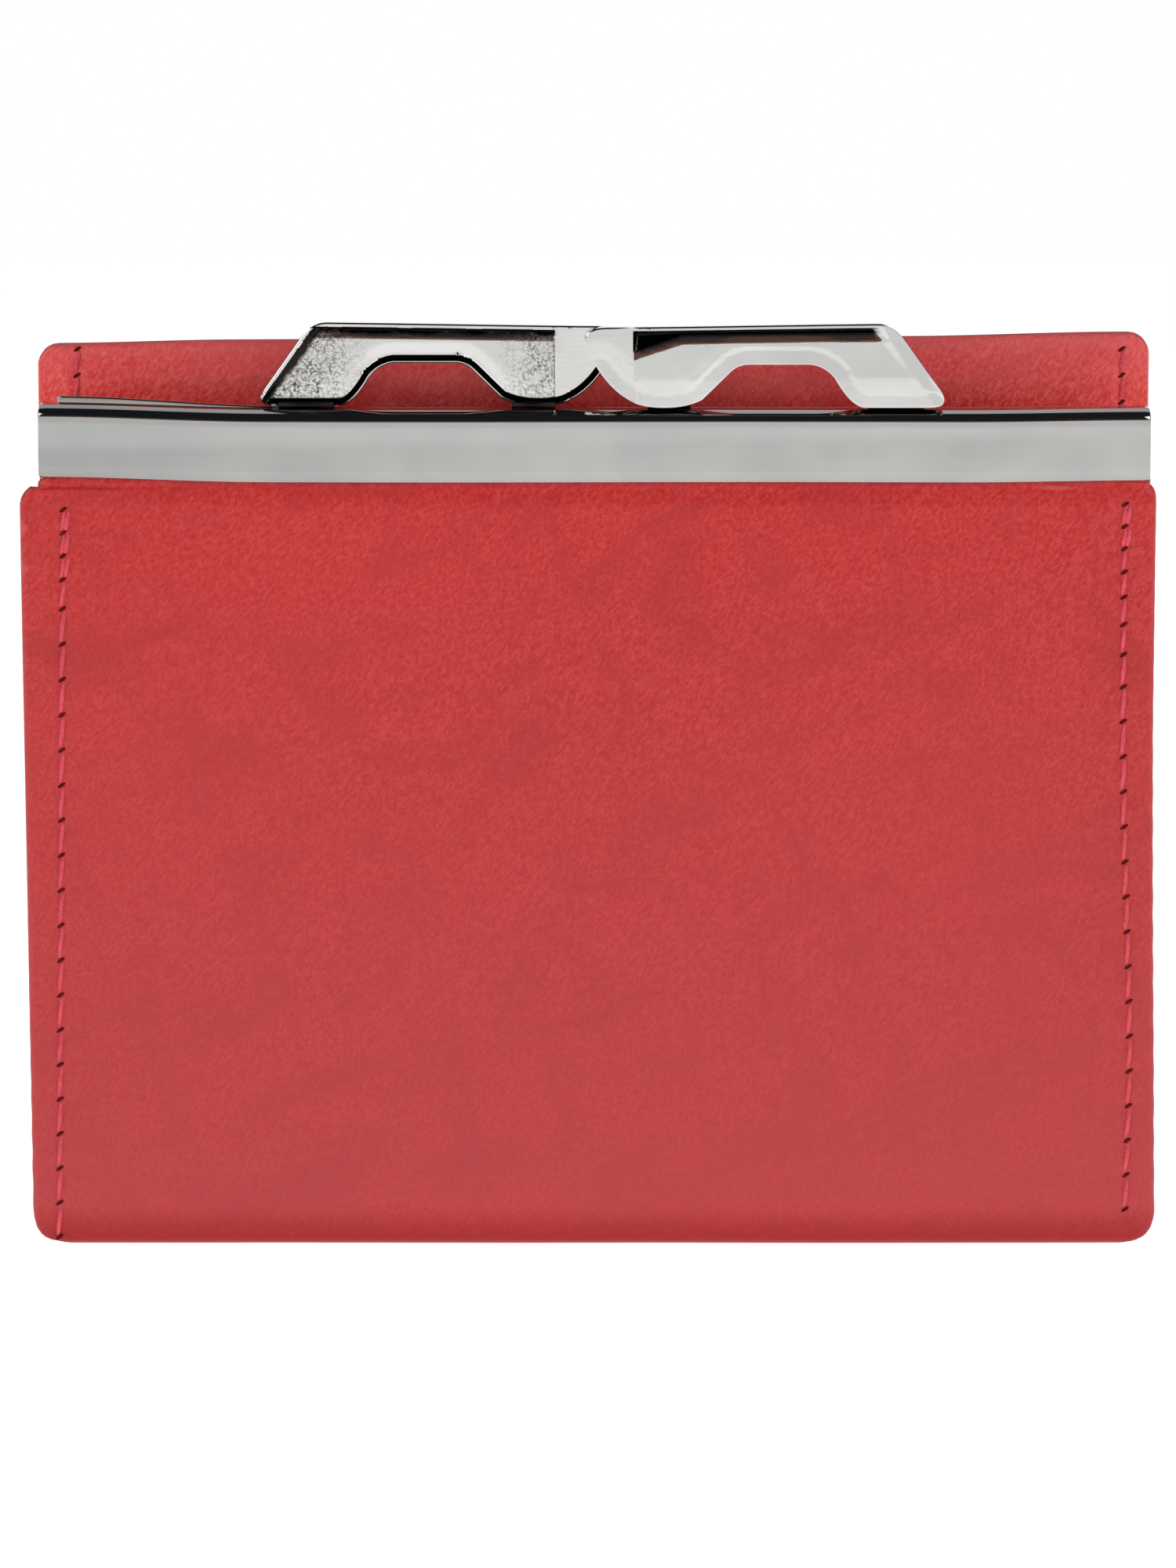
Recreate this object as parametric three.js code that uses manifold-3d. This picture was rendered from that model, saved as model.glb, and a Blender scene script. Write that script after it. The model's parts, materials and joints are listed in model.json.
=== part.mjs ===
// Leather coin purse with a kiss-lock frame, millimetres, +Z up.
// The purse stands on its base: X runs along its width, the clasped pocket faces -Y,
// and the origin is the middle of the base.
import * as THREE from "three";
import { mergeVertices } from "three/addons/utils/BufferGeometryUtils.js";
import Module from "manifold-3d";

const wasm = await Module();
wasm.setup();

// ---- driving dimensions ----
const WIDTH = 105; // leather body, seam edge to seam edge
const DEPTH = 16; // frame's front face to the back of the tall back panel
const FRONT_Y = -DEPTH / 2;
const BACK_Y = DEPTH / 2;
const GAP = 0.05; // between layers that lie on each other

const LEATHER = 1.1;
const THIN_LEATHER = 0.95;
const CARD = 0.5;
const BACK_CARD = 0.9;
const LINING = 0.25;
const BASE_CORNER = 3.4; // rounded lower corners of the panels

// Clasp frame: two folded channels, one on each side of MID_Y.
const FRAME_X = 0.4; // the frame sits a little to one side of the leather body
const FRAME_WIDTH = 102.7;
const FRAME_NEST = 1.8; // the rear half fits this much inside the front half, at each end
const FRAME_METAL = 0.5;
const ARM_METAL = 0.6;
const ARM_SHY = 0.03; // the arms' plates lie this far inside the channel's outer faces
const HALF_DEPTH = 3.6;
const HALF_GAP = 0.1; // from each half to the mid plane
const MID_Y = FRONT_Y + HALF_DEPTH + HALF_GAP;
const BAR_LOW = 72;
const BAR_TOP = 78.5;
const BAR_ROUND = 0.8; // bend radius along the bar's top edge
const BAR_LIP = 0.5; // height of the turned lip at the bar's lower edge
const BAR_LIP_IN = 0.25;
const INNER_WALL_LOW = 72.6;
const ARM_OUTER = 2.3; // the arms' outer edge, from the mid plane

// Frame hinge
const HINGE_Z = 48;
const ARM_EYE = 2.1; // round end of each arm
const ARM_NECK_Z = 56; // where the arm begins to widen towards its eye
const RIVET_R = 1.0;
const RIVET_HOLE_R = 1.1;
const RIVET_HEAD_R = 1.7;
const RIVET_HEAD = 0.6;
const WASHER_R = 1.9;

// Clasp levers: one casting, used twice, turned half a turn about CLASP_X, MID_Y.
const CLASP_X = 1.05;
const LEVER_Z = 78.95; // underside of the lever's feet
const LEVER_THICK = 3.0;
const LEVER_NOSE = 0.15; // the nose stops this short of the clasp's centre
const RECESS = 1.1; // hollow in the lever's back
const PAD_LOW = -0.4; // foot pads reach down from the feet to the flange
const PAD_INTO = 0.6; // overlap of a pad with the lever above it
const PAD_OUT = 2.6; // reach of a pad over its own half's flange
const PADS = [
  [4.3, 8.3],
  [24.8, 30.0],
];
const STUD_R = 0.9;
const STUD_HOLE_R = 1.0;
const STUD_LOW = -1.25;
const STUD_Y = 1.6;

// Leather panels
const PANEL_Y = FRONT_Y + 0.2; // front panel's face, just behind the bar's face
const PANEL_IN = PANEL_Y + LEATHER;
const SHOULDER_Z = 69.6; // where the front panel's sides begin to round in to the bar
const TONGUE_Y = FRONT_Y + FRAME_METAL + GAP; // the panel's edge inside the bar
const TONGUE_TOP = 77;
const TONGUE_INSET = 1.2; // from the frame's ends to the tongue's
const FOLD_LOW = HINGE_Z - 1.4; // the strip that bends when the purse opens
const FOLD_TOP = HINGE_Z + 3.4;
const FOLD_GAP = 0.15;
const LINING_HALF = 48;
const FLOOR_Z = LEATHER + 0.1; // inside floor of both pockets

const DIVIDER_BACK = -0.2; // rear face of the wall between the two pockets
const DIVIDER_STEP = 0.95; // its top edge steps forward into the rear channel
const DIVIDER_STEP_Z = 70.6;
const DIVIDER_HALF = 48.2;

const BACK_THICK = LEATHER + BACK_CARD + 1.0 + 2 * GAP;
const BACK_FACE = BACK_Y - BACK_THICK; // front face of the tall back panel
const BACK_TOP_LEFT = 84.4;
const BACK_TOP_RIGHT = 85.3;
const BACK_CORNER = 3;
const BACK_CARD_INSET = 2;

const GUSSET_TOP = 70;
const GUSSET_THICK = 0.7;
const COIN_GUSSET = { edge: 47.9, apex: 43.8, low: -5.75, high: -1.55 };
const COIN_GUSSET_TOP = { ...COIN_GUSSET, apex: 38.2 }; // deeper, so that the mouth can open
const GUSSET_JOIN_Z = HINGE_Z - 1.4; // the coin gussets' lower part ends here, below the hinge
const SLIP_GUSSET = { edge: 51.4, apex: 47.2, low: DIVIDER_BACK + 0.1, high: BACK_FACE - 0.1 };

const THREAD = 0.5;
const THREAD_PROUD = 0.18;
const FRONT_SEAMS = { left: -49, right: 49.75 };
const BACK_SEAMS = { left: -48.6, right: 50.3 };

// ---- materials ----
const finish = (color, roughness, metalness) =>
  new THREE.MeshStandardMaterial({ color, roughness, metalness });
const CHROME = finish(0xc8c9c4, 0.12, 1);
const RED_LEATHER = finish(0xbe3a38, 0.5, 0);
const LINING_CLOTH = finish(0x3a2a2c, 0.9, 0);
const BOARD = finish(0xb8a98c, 0.95, 0);
const PAPER_CORD = finish(0xc9b48c, 0.95, 0);
const RED_THREAD = finish(0xcf4a52, 0.7, 0);

// ---- geometry helpers ----

// An outline in the Y-Z plane, extruded from x0 to x1.
function alongX(shape, x0, x1) {
  const g = new THREE.ExtrudeGeometry(shape, { depth: x1 - x0, bevelEnabled: false, curveSegments: 6 });
  const turn = new THREE.Matrix4().makeBasis(
    new THREE.Vector3(0, 1, 0),
    new THREE.Vector3(0, 0, 1),
    new THREE.Vector3(1, 0, 0),
  );
  return g.applyMatrix4(turn).translate(x0, 0, 0);
}

// An outline in the X-Z plane, extruded from y0 to y1.
function alongY(shape, y0, y1) {
  const g = new THREE.ExtrudeGeometry(shape, { depth: y1 - y0, bevelEnabled: false, curveSegments: 8 });
  return g.rotateX(Math.PI / 2).translate(0, y1, 0);
}

// An outline in the X-Y plane, extruded from z0 to z1.
function alongZ(shape, z0, z1) {
  const g = new THREE.ExtrudeGeometry(shape, { depth: z1 - z0, bevelEnabled: false, curveSegments: 8 });
  return g.translate(0, 0, z0);
}

function polygon(points) {
  return new THREE.Shape(points.map(([a, b]) => new THREE.Vector2(a, b)));
}

function box(x0, x1, y0, y1, z0, z1) {
  return new THREE.BoxGeometry(x1 - x0, y1 - y0, z1 - z0).translate(
    (x0 + x1) / 2,
    (y0 + y1) / 2,
    (z0 + z1) / 2,
  );
}

// A round bar along X or Z through a point.
function rod(axis, radius, from, to, a, b, sides = 24) {
  const g = new THREE.CylinderGeometry(radius, radius, to - from, sides);
  if (axis === "x") {
    return g.rotateZ(-Math.PI / 2).translate((from + to) / 2, a, b);
  }
  return g.rotateX(Math.PI / 2).translate(a, b, (from + to) / 2);
}

function solid(geometry) {
  const bare = geometry.index ? geometry.toNonIndexed() : geometry.clone();
  bare.deleteAttribute("normal");
  bare.deleteAttribute("uv");
  const merged = mergeVertices(bare, 1e-4);
  return new wasm.Manifold(
    new wasm.Mesh({
      numProp: 3,
      vertProperties: merged.attributes.position.array,
      triVerts: new Uint32Array(merged.index.array),
    }),
  );
}

// Joins a list of geometries and cuts another list away.
function combine(joined, cut = []) {
  let body = solid(joined[0]);
  for (const g of joined.slice(1)) {
    body = body.add(solid(g));
  }
  for (const g of cut) {
    body = body.subtract(solid(g));
  }
  const mesh = body.getMesh();
  const g = new THREE.BufferGeometry();
  g.setAttribute("position", new THREE.BufferAttribute(mesh.vertProperties, 3));
  g.setIndex(new THREE.BufferAttribute(mesh.triVerts, 1));
  g.computeVertexNormals();
  return g;
}

const purse = new THREE.Group();
const backHalf = new THREE.Group();
const frontHalf = new THREE.Group();
purse.add(backHalf, frontHalf);

function place(group, name, geometry, material) {
  const mesh = new THREE.Mesh(geometry, material);
  mesh.name = name;
  group.add(mesh);
  return mesh;
}

// ---- clasp frame ----

// Distance from the mid plane, out towards the front (side -1) or the back (side +1).
const out = (side, distance) => MID_Y + side * distance;

// One folded channel: outer wall with a rounded top edge and a turned lip, flange, inner wall.
function channelShape(side) {
  const far = HALF_GAP + HALF_DEPTH;
  const flangeLow = BAR_TOP - FRAME_METAL;
  const shape = new THREE.Shape();
  shape.moveTo(out(side, far - FRAME_METAL), BAR_LOW);
  shape.lineTo(out(side, far - BAR_LIP_IN), BAR_LOW);
  shape.lineTo(out(side, far), BAR_LOW + BAR_LIP);
  shape.lineTo(out(side, far), BAR_TOP - BAR_ROUND);
  shape.quadraticCurveTo(out(side, far), BAR_TOP, out(side, far - BAR_ROUND), BAR_TOP);
  shape.lineTo(out(side, HALF_GAP), BAR_TOP);
  shape.lineTo(out(side, HALF_GAP), INNER_WALL_LOW);
  shape.lineTo(out(side, HALF_GAP + FRAME_METAL), INNER_WALL_LOW);
  shape.lineTo(out(side, HALF_GAP + FRAME_METAL), flangeLow);
  shape.lineTo(out(side, far - BAR_ROUND), flangeLow);
  shape.quadraticCurveTo(
    out(side, far - FRAME_METAL),
    flangeLow,
    out(side, far - FRAME_METAL),
    BAR_TOP - BAR_ROUND,
  );
  return shape;
}

// One side arm: fills the channel's end, then runs down to a round eye at the hinge.
function armShape(side) {
  const far = HALF_GAP + HALF_DEPTH - ARM_SHY;
  const near = HALF_GAP + ARM_SHY;
  const top = BAR_TOP - ARM_SHY;
  const low = BAR_LOW + ARM_SHY;
  const shape = new THREE.Shape();
  shape.moveTo(out(side, near), top);
  shape.lineTo(out(side, far - BAR_ROUND), top);
  shape.lineTo(out(side, far), top - BAR_ROUND);
  shape.lineTo(out(side, far), BAR_LOW + BAR_LIP);
  shape.lineTo(out(side, far - BAR_LIP_IN), low);
  shape.lineTo(out(side, ARM_OUTER), low);
  shape.lineTo(out(side, ARM_EYE), HINGE_Z);
  const steps = 10;
  for (let i = 1; i <= steps; i += 1) {
    const angle = (Math.PI * i) / steps;
    shape.lineTo(out(side, ARM_EYE * Math.cos(angle)), HINGE_Z - ARM_EYE * Math.sin(angle));
  }
  shape.lineTo(out(side, near), ARM_NECK_Z);
  return shape;
}

// Where each lever's studs pass through its flange; turn is +1 for the rear half's lever.
function studPlaces(turn) {
  return PADS.map(([u0, u1]) => ({
    x: CLASP_X + (turn * (u0 + u1)) / 2,
    y: MID_Y + turn * STUD_Y,
  }));
}

function halfFrame(side, nest) {
  const x0 = FRAME_X - FRAME_WIDTH / 2 + nest;
  const x1 = FRAME_X + FRAME_WIDTH / 2 - nest;
  const pieces = [
    alongX(channelShape(side), x0, x1),
    alongX(armShape(side), x0, x0 + ARM_METAL),
    alongX(armShape(side), x1 - ARM_METAL, x1),
  ];
  const holes = [rod("x", RIVET_HOLE_R, x0 - 1, x1 + 1, MID_Y, HINGE_Z)];
  for (const { x, y } of studPlaces(side)) {
    holes.push(rod("z", STUD_HOLE_R, BAR_TOP - 1, BAR_TOP + 1, x, y));
  }
  return combine(pieces, holes);
}

place(frontHalf, "front_frame", halfFrame(-1, 0), CHROME);
place(backHalf, "rear_frame", halfFrame(1, FRAME_NEST), CHROME);

// Paper cord pressed into each channel to grip the leather.
const CORD_R = 0.6;
const CORD_FROM_MID = 1.3;
const CORD_Z = 76.6;
const CORD_INSET = 4;
for (const [group, side, name] of [
  [frontHalf, -1, "front_frame_cord"],
  [backHalf, 1, "rear_frame_cord"],
]) {
  const half = FRAME_WIDTH / 2 - CORD_INSET;
  const cord = rod("x", CORD_R, FRAME_X - half, FRAME_X + half, out(side, CORD_FROM_MID), CORD_Z, 10);
  place(group, name, cord, PAPER_CORD);
}

// ---- hinge rivets and washers ----

// The rivet's outline is turned about its axis, then laid along X with its outer head at -X.
function rivetGeometry() {
  const outer = -(FRAME_WIDTH / 2 + GAP);
  const inner = -(FRAME_WIDTH / 2 - FRAME_NEST - ARM_METAL - GAP);
  const head = RIVET_HEAD;
  const profile = [
    [0, outer - head],
    [RIVET_HEAD_R * 0.6, outer - head],
    [RIVET_HEAD_R, outer - head * 0.4],
    [RIVET_HEAD_R, outer],
    [RIVET_R, outer],
    [RIVET_R, inner],
    [RIVET_HEAD_R, inner],
    [RIVET_HEAD_R, inner + head * 0.6],
    [0, inner + head * 0.6],
  ].map(([r, along]) => new THREE.Vector2(r, along));
  return new THREE.LatheGeometry(profile, 24).rotateZ(-Math.PI / 2);
}

function washerGeometry() {
  const low = -(FRAME_WIDTH / 2 - ARM_METAL - GAP);
  const high = -(FRAME_WIDTH / 2 - FRAME_NEST + GAP);
  const ring = [
    [RIVET_HOLE_R, low],
    [WASHER_R, low],
    [WASHER_R, high],
    [RIVET_HOLE_R, high],
    [RIVET_HOLE_R, low],
  ].map(([r, along]) => new THREE.Vector2(r, along));
  return new THREE.LatheGeometry(ring, 24).rotateZ(-Math.PI / 2);
}

for (const [name, turn] of [
  ["left", 0],
  ["right", Math.PI],
]) {
  const rivet = place(backHalf, name + "_hinge_rivet", rivetGeometry(), CHROME);
  const washer = place(backHalf, name + "_hinge_washer", washerGeometry(), CHROME);
  for (const piece of [rivet, washer]) {
    piece.rotation.z = turn;
    piece.position.set(FRAME_X, MID_Y, HINGE_Z);
  }
}

// ---- clasp levers ----

// Side outline, drawn from the clasp's centre outwards: a rounded nose above a round lobe,
// an arch that a finger pushes against, and an outer foot under a slanted end.
function leverShape() {
  const s = new THREE.Shape();
  s.moveTo(24.2, 0);
  s.lineTo(30.8, 0);
  s.quadraticCurveTo(31.9, 0.1, 31.5, 0.95);
  s.lineTo(27.6, 6.6);
  s.quadraticCurveTo(27.1, 7.45, 26.2, 7.46);
  s.lineTo(LEVER_NOSE + 0.9, 7.1);
  s.quadraticCurveTo(LEVER_NOSE, 6.9, LEVER_NOSE, 5.9);
  s.lineTo(LEVER_NOSE, 4.6);
  s.quadraticCurveTo(0.9, 2.2, 2.4, 0.9);
  s.quadraticCurveTo(3.8, 0, 5.8, 0);
  s.quadraticCurveTo(7.9, 0, 9.3, 0.7);
  s.lineTo(11.9, 3.2);
  s.quadraticCurveTo(12.6, 3.84, 13.6, 3.84);
  s.lineTo(19.3, 3.84);
  s.quadraticCurveTo(20.6, 3.7, 21.5, 2.7);
  s.quadraticCurveTo(22.9, 0.3, 24.2, 0);
  return s;
}

const RECESS_OUTLINE = [
  [4.3, 0.9],
  [5.8, 0.8],
  [8.7, 1.3],
  [11.2, 3.9],
  [12.9, 4.6],
  [19.8, 4.6],
  [22.2, 3.3],
  [24.7, 0.9],
  [29.9, 0.9],
  [30.3, 1.4],
  [26.7, 6.5],
  [4.3, 6.2],
];

// The lever stands on the far side of the mid plane from its own half: its pads reach back
// across, and their studs are riveted into that half's flange.
function leverGeometry() {
  const near = -HALF_GAP;
  const body = alongY(leverShape(), near - LEVER_THICK, near);
  const recess = alongY(polygon(RECESS_OUTLINE), near - RECESS, near + 1);
  const feet = [];
  for (const [u0, u1] of PADS) {
    feet.push(box(u0, u1, near - PAD_INTO, PAD_OUT, PAD_LOW, GAP));
    feet.push(rod("z", STUD_R, STUD_LOW, PAD_LOW + GAP, (u0 + u1) / 2, STUD_Y, 16));
  }
  // The recess is cut before the pads are joined on.
  const hollowed = combine([body], [recess]);
  return combine([hollowed, ...feet]);
}

const rearLever = place(backHalf, "rear_clasp_lever", leverGeometry(), CHROME);
rearLever.position.set(CLASP_X, MID_Y, LEVER_Z);
const frontLever = place(frontHalf, "front_clasp_lever", leverGeometry(), CHROME);
frontLever.position.set(CLASP_X, MID_Y, LEVER_Z);
frontLever.rotation.z = Math.PI;

// ---- front wall of the coin pocket ----

// The panel's lower part: straight sides and rounded lower corners.
function lowerOutline(top) {
  const half = WIDTH / 2;
  const r = BASE_CORNER;
  const s = new THREE.Shape();
  s.moveTo(-half, top);
  s.lineTo(-half, r);
  s.absarc(-half + r, r, r, Math.PI, 1.5 * Math.PI, false);
  s.lineTo(half - r, 0);
  s.absarc(half - r, r, r, 1.5 * Math.PI, 2 * Math.PI, false);
  s.lineTo(half, top);
  return s;
}

// The upper part narrows at its shoulders to the frame's width.
function upperOutline(bottom) {
  const half = WIDTH / 2;
  const left = FRAME_X - FRAME_WIDTH / 2;
  const right = FRAME_X + FRAME_WIDTH / 2;
  const top = BAR_LOW - FOLD_GAP;
  const s = new THREE.Shape();
  s.moveTo(-half, bottom);
  s.lineTo(half, bottom);
  s.lineTo(half, SHOULDER_Z);
  s.quadraticCurveTo(half, top, right, top);
  s.lineTo(left, top);
  s.quadraticCurveTo(-half, top, -half, SHOULDER_Z);
  return s;
}

const halfWidth = WIDTH / 2;
const lowerTop = FOLD_LOW - FOLD_GAP;
const upperLow = FOLD_TOP + FOLD_GAP;
place(backHalf, "front_panel_lower", alongY(lowerOutline(lowerTop), PANEL_Y, PANEL_IN), RED_LEATHER);
place(
  frontHalf,
  "front_panel_fold",
  box(-halfWidth, halfWidth, PANEL_Y, PANEL_IN, FOLD_LOW, FOLD_TOP),
  RED_LEATHER,
);
const tongue = box(
  FRAME_X - FRAME_WIDTH / 2 + TONGUE_INSET,
  FRAME_X + FRAME_WIDTH / 2 - TONGUE_INSET,
  TONGUE_Y,
  PANEL_IN,
  BAR_LOW - 1,
  TONGUE_TOP,
);
place(
  frontHalf,
  "front_panel_upper",
  combine([alongY(upperOutline(upperLow), PANEL_Y, PANEL_IN), tongue]),
  RED_LEATHER,
);

const cardY = PANEL_IN + GAP;
const liningY = cardY + CARD + GAP;
const cardTop = lowerTop - 0.4;
place(
  backHalf,
  "front_panel_stiffener",
  box(-LINING_HALF + 1, LINING_HALF - 1, cardY, cardY + CARD, FLOOR_Z + 0.5, cardTop),
  BOARD,
);
place(
  backHalf,
  "front_lining_lower",
  box(-LINING_HALF, LINING_HALF, liningY, liningY + LINING, FLOOR_Z, lowerTop),
  LINING_CLOTH,
);
place(
  frontHalf,
  "front_lining_fold",
  box(-LINING_HALF, LINING_HALF, cardY, cardY + LINING, FOLD_LOW, FOLD_TOP),
  LINING_CLOTH,
);
place(
  frontHalf,
  "front_lining_upper",
  box(-LINING_HALF, LINING_HALF, cardY, cardY + LINING, upperLow, TONGUE_TOP - 0.5),
  LINING_CLOTH,
);

// ---- base ----
place(
  backHalf,
  "base_panel",
  box(-halfWidth + 2, halfWidth - 2, PANEL_IN + GAP, BACK_FACE - GAP, 0, LEATHER),
  RED_LEATHER,
);

// ---- wall between the coin pocket and the slip pocket ----

// Both layers run straight up, then step forward into the rear channel.
function steppedWall(back, thick, step, stepZ, top) {
  return polygon([
    [back - thick, FLOOR_Z],
    [back, FLOOR_Z],
    [back, stepZ + thick],
    [back - step, stepZ + thick],
    [back - step, top],
    [back - step - thick, top],
    [back - step - thick, stepZ],
    [back - thick, stepZ],
  ]);
}

place(
  backHalf,
  "coin_pocket_back_wall",
  alongX(
    steppedWall(DIVIDER_BACK, THIN_LEATHER, DIVIDER_STEP, DIVIDER_STEP_Z, TONGUE_TOP),
    -DIVIDER_HALF,
    DIVIDER_HALF,
  ),
  RED_LEATHER,
);
place(
  backHalf,
  "coin_pocket_back_lining",
  alongX(
    steppedWall(
      DIVIDER_BACK - THIN_LEATHER - GAP,
      LINING,
      DIVIDER_STEP,
      DIVIDER_STEP_Z - GAP - LINING,
      TONGUE_TOP - 0.5,
    ),
    -LINING_HALF,
    LINING_HALF,
  ),
  LINING_CLOTH,
);

// ---- side gussets, folded inwards ----
function gussetGeometry({ edge, apex, low, high }, side, z0, z1) {
  const mid = (low + high) / 2;
  const t = GUSSET_THICK;
  const fold = polygon([
    [side * edge, low],
    [side * (apex - t), mid],
    [side * edge, high],
    [side * edge, high - 2 * t],
    [side * (apex + t), mid],
    [side * edge, low + 2 * t],
  ]);
  return alongZ(fold, z0, z1);
}

for (const [name, side] of [
  ["left", -1],
  ["right", 1],
]) {
  const lower = gussetGeometry(COIN_GUSSET, side, FLOOR_Z, GUSSET_JOIN_Z);
  const upper = gussetGeometry(COIN_GUSSET_TOP, side, GUSSET_JOIN_Z + FOLD_GAP, GUSSET_TOP);
  const slip = gussetGeometry(SLIP_GUSSET, side, FLOOR_Z, GUSSET_TOP);
  place(backHalf, name + "_coin_gusset", lower, RED_LEATHER);
  place(frontHalf, name + "_coin_gusset_top", upper, RED_LEATHER);
  place(backHalf, name + "_slip_gusset", slip, RED_LEATHER);
}

// ---- tall back panel ----
function backOutline(inset) {
  const half = WIDTH / 2 - inset;
  const r = BACK_CORNER;
  const low = BASE_CORNER;
  const left = BACK_TOP_LEFT - inset;
  const right = BACK_TOP_RIGHT - inset;
  const s = new THREE.Shape();
  s.moveTo(-half + low, inset);
  s.lineTo(half - low, inset);
  s.absarc(half - low, inset + low, low, -Math.PI / 2, 0, false);
  s.lineTo(half, right - r);
  s.quadraticCurveTo(half, right, half - r, right);
  s.lineTo(-half + r, left);
  s.quadraticCurveTo(-half, left, -half, left - r);
  s.lineTo(-half, inset + low);
  s.absarc(-half + low, inset + low, low, Math.PI, 1.5 * Math.PI, false);
  return s;
}

const backLayers = [
  ["back_panel_inner", 1.0, 0, RED_LEATHER],
  ["back_panel_stiffener", BACK_CARD, BACK_CARD_INSET, BOARD],
  ["back_panel_outer", LEATHER, 0, RED_LEATHER],
];
let layerY = BACK_FACE;
for (const [name, thick, inset, material] of backLayers) {
  place(backHalf, name, alongY(backOutline(inset), layerY, layerY + thick), material);
  layerY += thick + GAP;
}

// ---- seams ----
const SEAM_LOW = 1;
const SEAM_TOP = 70.5;
const BACK_SEAM_LOW = 71;
const BACK_SEAM_TOP = 83.4;

function seam(group, name, x, face, z0, z1) {
  const strip = box(x - THREAD / 2, x + THREAD / 2, face - THREAD_PROUD, face - 0.02, z0, z1);
  place(group, name, strip, RED_THREAD);
}

for (const side of ["left", "right"]) {
  seam(backHalf, "front_" + side + "_stitching", FRONT_SEAMS[side], PANEL_Y, SEAM_LOW, lowerTop);
  seam(frontHalf, "front_" + side + "_stitching_top", FRONT_SEAMS[side], PANEL_Y, upperLow, SEAM_TOP);
  seam(backHalf, "back_" + side + "_stitching", BACK_SEAMS[side], BACK_FACE, BACK_SEAM_LOW, BACK_SEAM_TOP);
}

export default purse;
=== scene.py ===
import json
import math

import bmesh
import bpy
import numpy as np
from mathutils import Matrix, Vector, noise
from mathutils.geometry import delaunay_2d_cdt


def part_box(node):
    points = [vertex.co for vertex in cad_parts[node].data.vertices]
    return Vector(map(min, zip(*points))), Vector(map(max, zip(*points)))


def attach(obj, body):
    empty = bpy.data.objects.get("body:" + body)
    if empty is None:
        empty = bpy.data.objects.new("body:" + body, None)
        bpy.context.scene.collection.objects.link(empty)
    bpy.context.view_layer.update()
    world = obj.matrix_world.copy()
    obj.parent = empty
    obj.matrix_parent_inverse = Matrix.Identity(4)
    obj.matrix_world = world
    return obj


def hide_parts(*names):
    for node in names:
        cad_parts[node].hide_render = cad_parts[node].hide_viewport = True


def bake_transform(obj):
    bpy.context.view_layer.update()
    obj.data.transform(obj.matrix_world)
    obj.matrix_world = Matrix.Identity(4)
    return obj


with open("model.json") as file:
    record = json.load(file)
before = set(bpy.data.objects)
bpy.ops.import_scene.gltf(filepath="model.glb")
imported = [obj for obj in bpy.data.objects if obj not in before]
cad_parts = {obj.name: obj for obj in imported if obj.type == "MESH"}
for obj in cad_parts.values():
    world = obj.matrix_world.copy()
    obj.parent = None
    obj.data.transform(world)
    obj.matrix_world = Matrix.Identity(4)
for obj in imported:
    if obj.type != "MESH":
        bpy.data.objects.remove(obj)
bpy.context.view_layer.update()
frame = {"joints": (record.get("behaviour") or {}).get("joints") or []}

# A leather coin purse with a kiss-lock frame. Shapes are worked out in millimetres, in the
# frame's own axes: X along the purse, -Y towards the clasped front, +Z up.
MM = 0.001
BACK, FRONT = "back_half", "front_half"


def span(node):
    """Lowest and highest corner of a CAD node, in millimetres."""
    low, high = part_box(node)
    return low / MM, high / MM


# ---- places read from the frame ----
PANEL_LOW, PANEL_HIGH = span("front_panel_lower")
BAR_LOW, BAR_HIGH = span("front_frame")
LEVER_LOW, LEVER_HIGH = span("rear_clasp_lever")
INNER_FACE = span("back_panel_inner")[0].y
OUTER_FACE = span("back_panel_outer")[1].y
WALL_LOW, WALL_HIGH = span("coin_pocket_back_wall")
LINING_LOW, LINING_HIGH = span("front_lining_upper")
HINGE = Vector(frame["joints"][0]["pos_m"]) / MM

# ---- driving sizes, in millimetres, from the frame where it has them ----
HALF_WIDTH = PANEL_HIGH.x
PANEL_FACE = PANEL_LOW.y
LEATHER = PANEL_HIGH.y - PANEL_LOW.y
BASE_CORNER = 3.4
BACK_CORNER = 1.45
BACK_TALL = 84.0  # the height that the tall back panel's rows are spaced over
MID_Y = HINGE.y
BAR_TOP = BAR_HIGH.z
BAR_BASE = 72.0
CHANNEL_MOUTH = 71.36  # the leather is inside the channel above this height
CHANNEL_DEPTH = 3.6  # from the mid plane's gap to the bar's face
FLANGE_RISE = 0.25  # how much higher the flange is than in the CAD, after the photo
FRAME_METAL = 0.5  # thickness of the bar's sheet metal
ARM_METAL = 0.6
CLASP_X = (span("front_clasp_lever")[1].x + LEVER_LOW.x) / 2
LEVER_TALL = 7.46  # the CAD lever's height over its feet
LEVER_RISE = 0.22  # how much higher the levers stand than in the CAD, after the photo
LEVER_Z = LEVER_HIGH.z - LEVER_TALL + LEVER_RISE
LEVER_TOP, TOP_SLOPE = 7.1, 0.0139  # the top edge above the feet, and its rise per mm outward
LEVER_THICK = 3.0
HALF_GAP = 0.1  # from the mid plane to each half of the clasp
SLANT_FOOT = 32.27  # where the lever's slanted end, drawn out straight, meets the feet's level
SLANT_ACROSS, SLANT_UP = 0.813, 0.583
STITCH = 3.3


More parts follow.
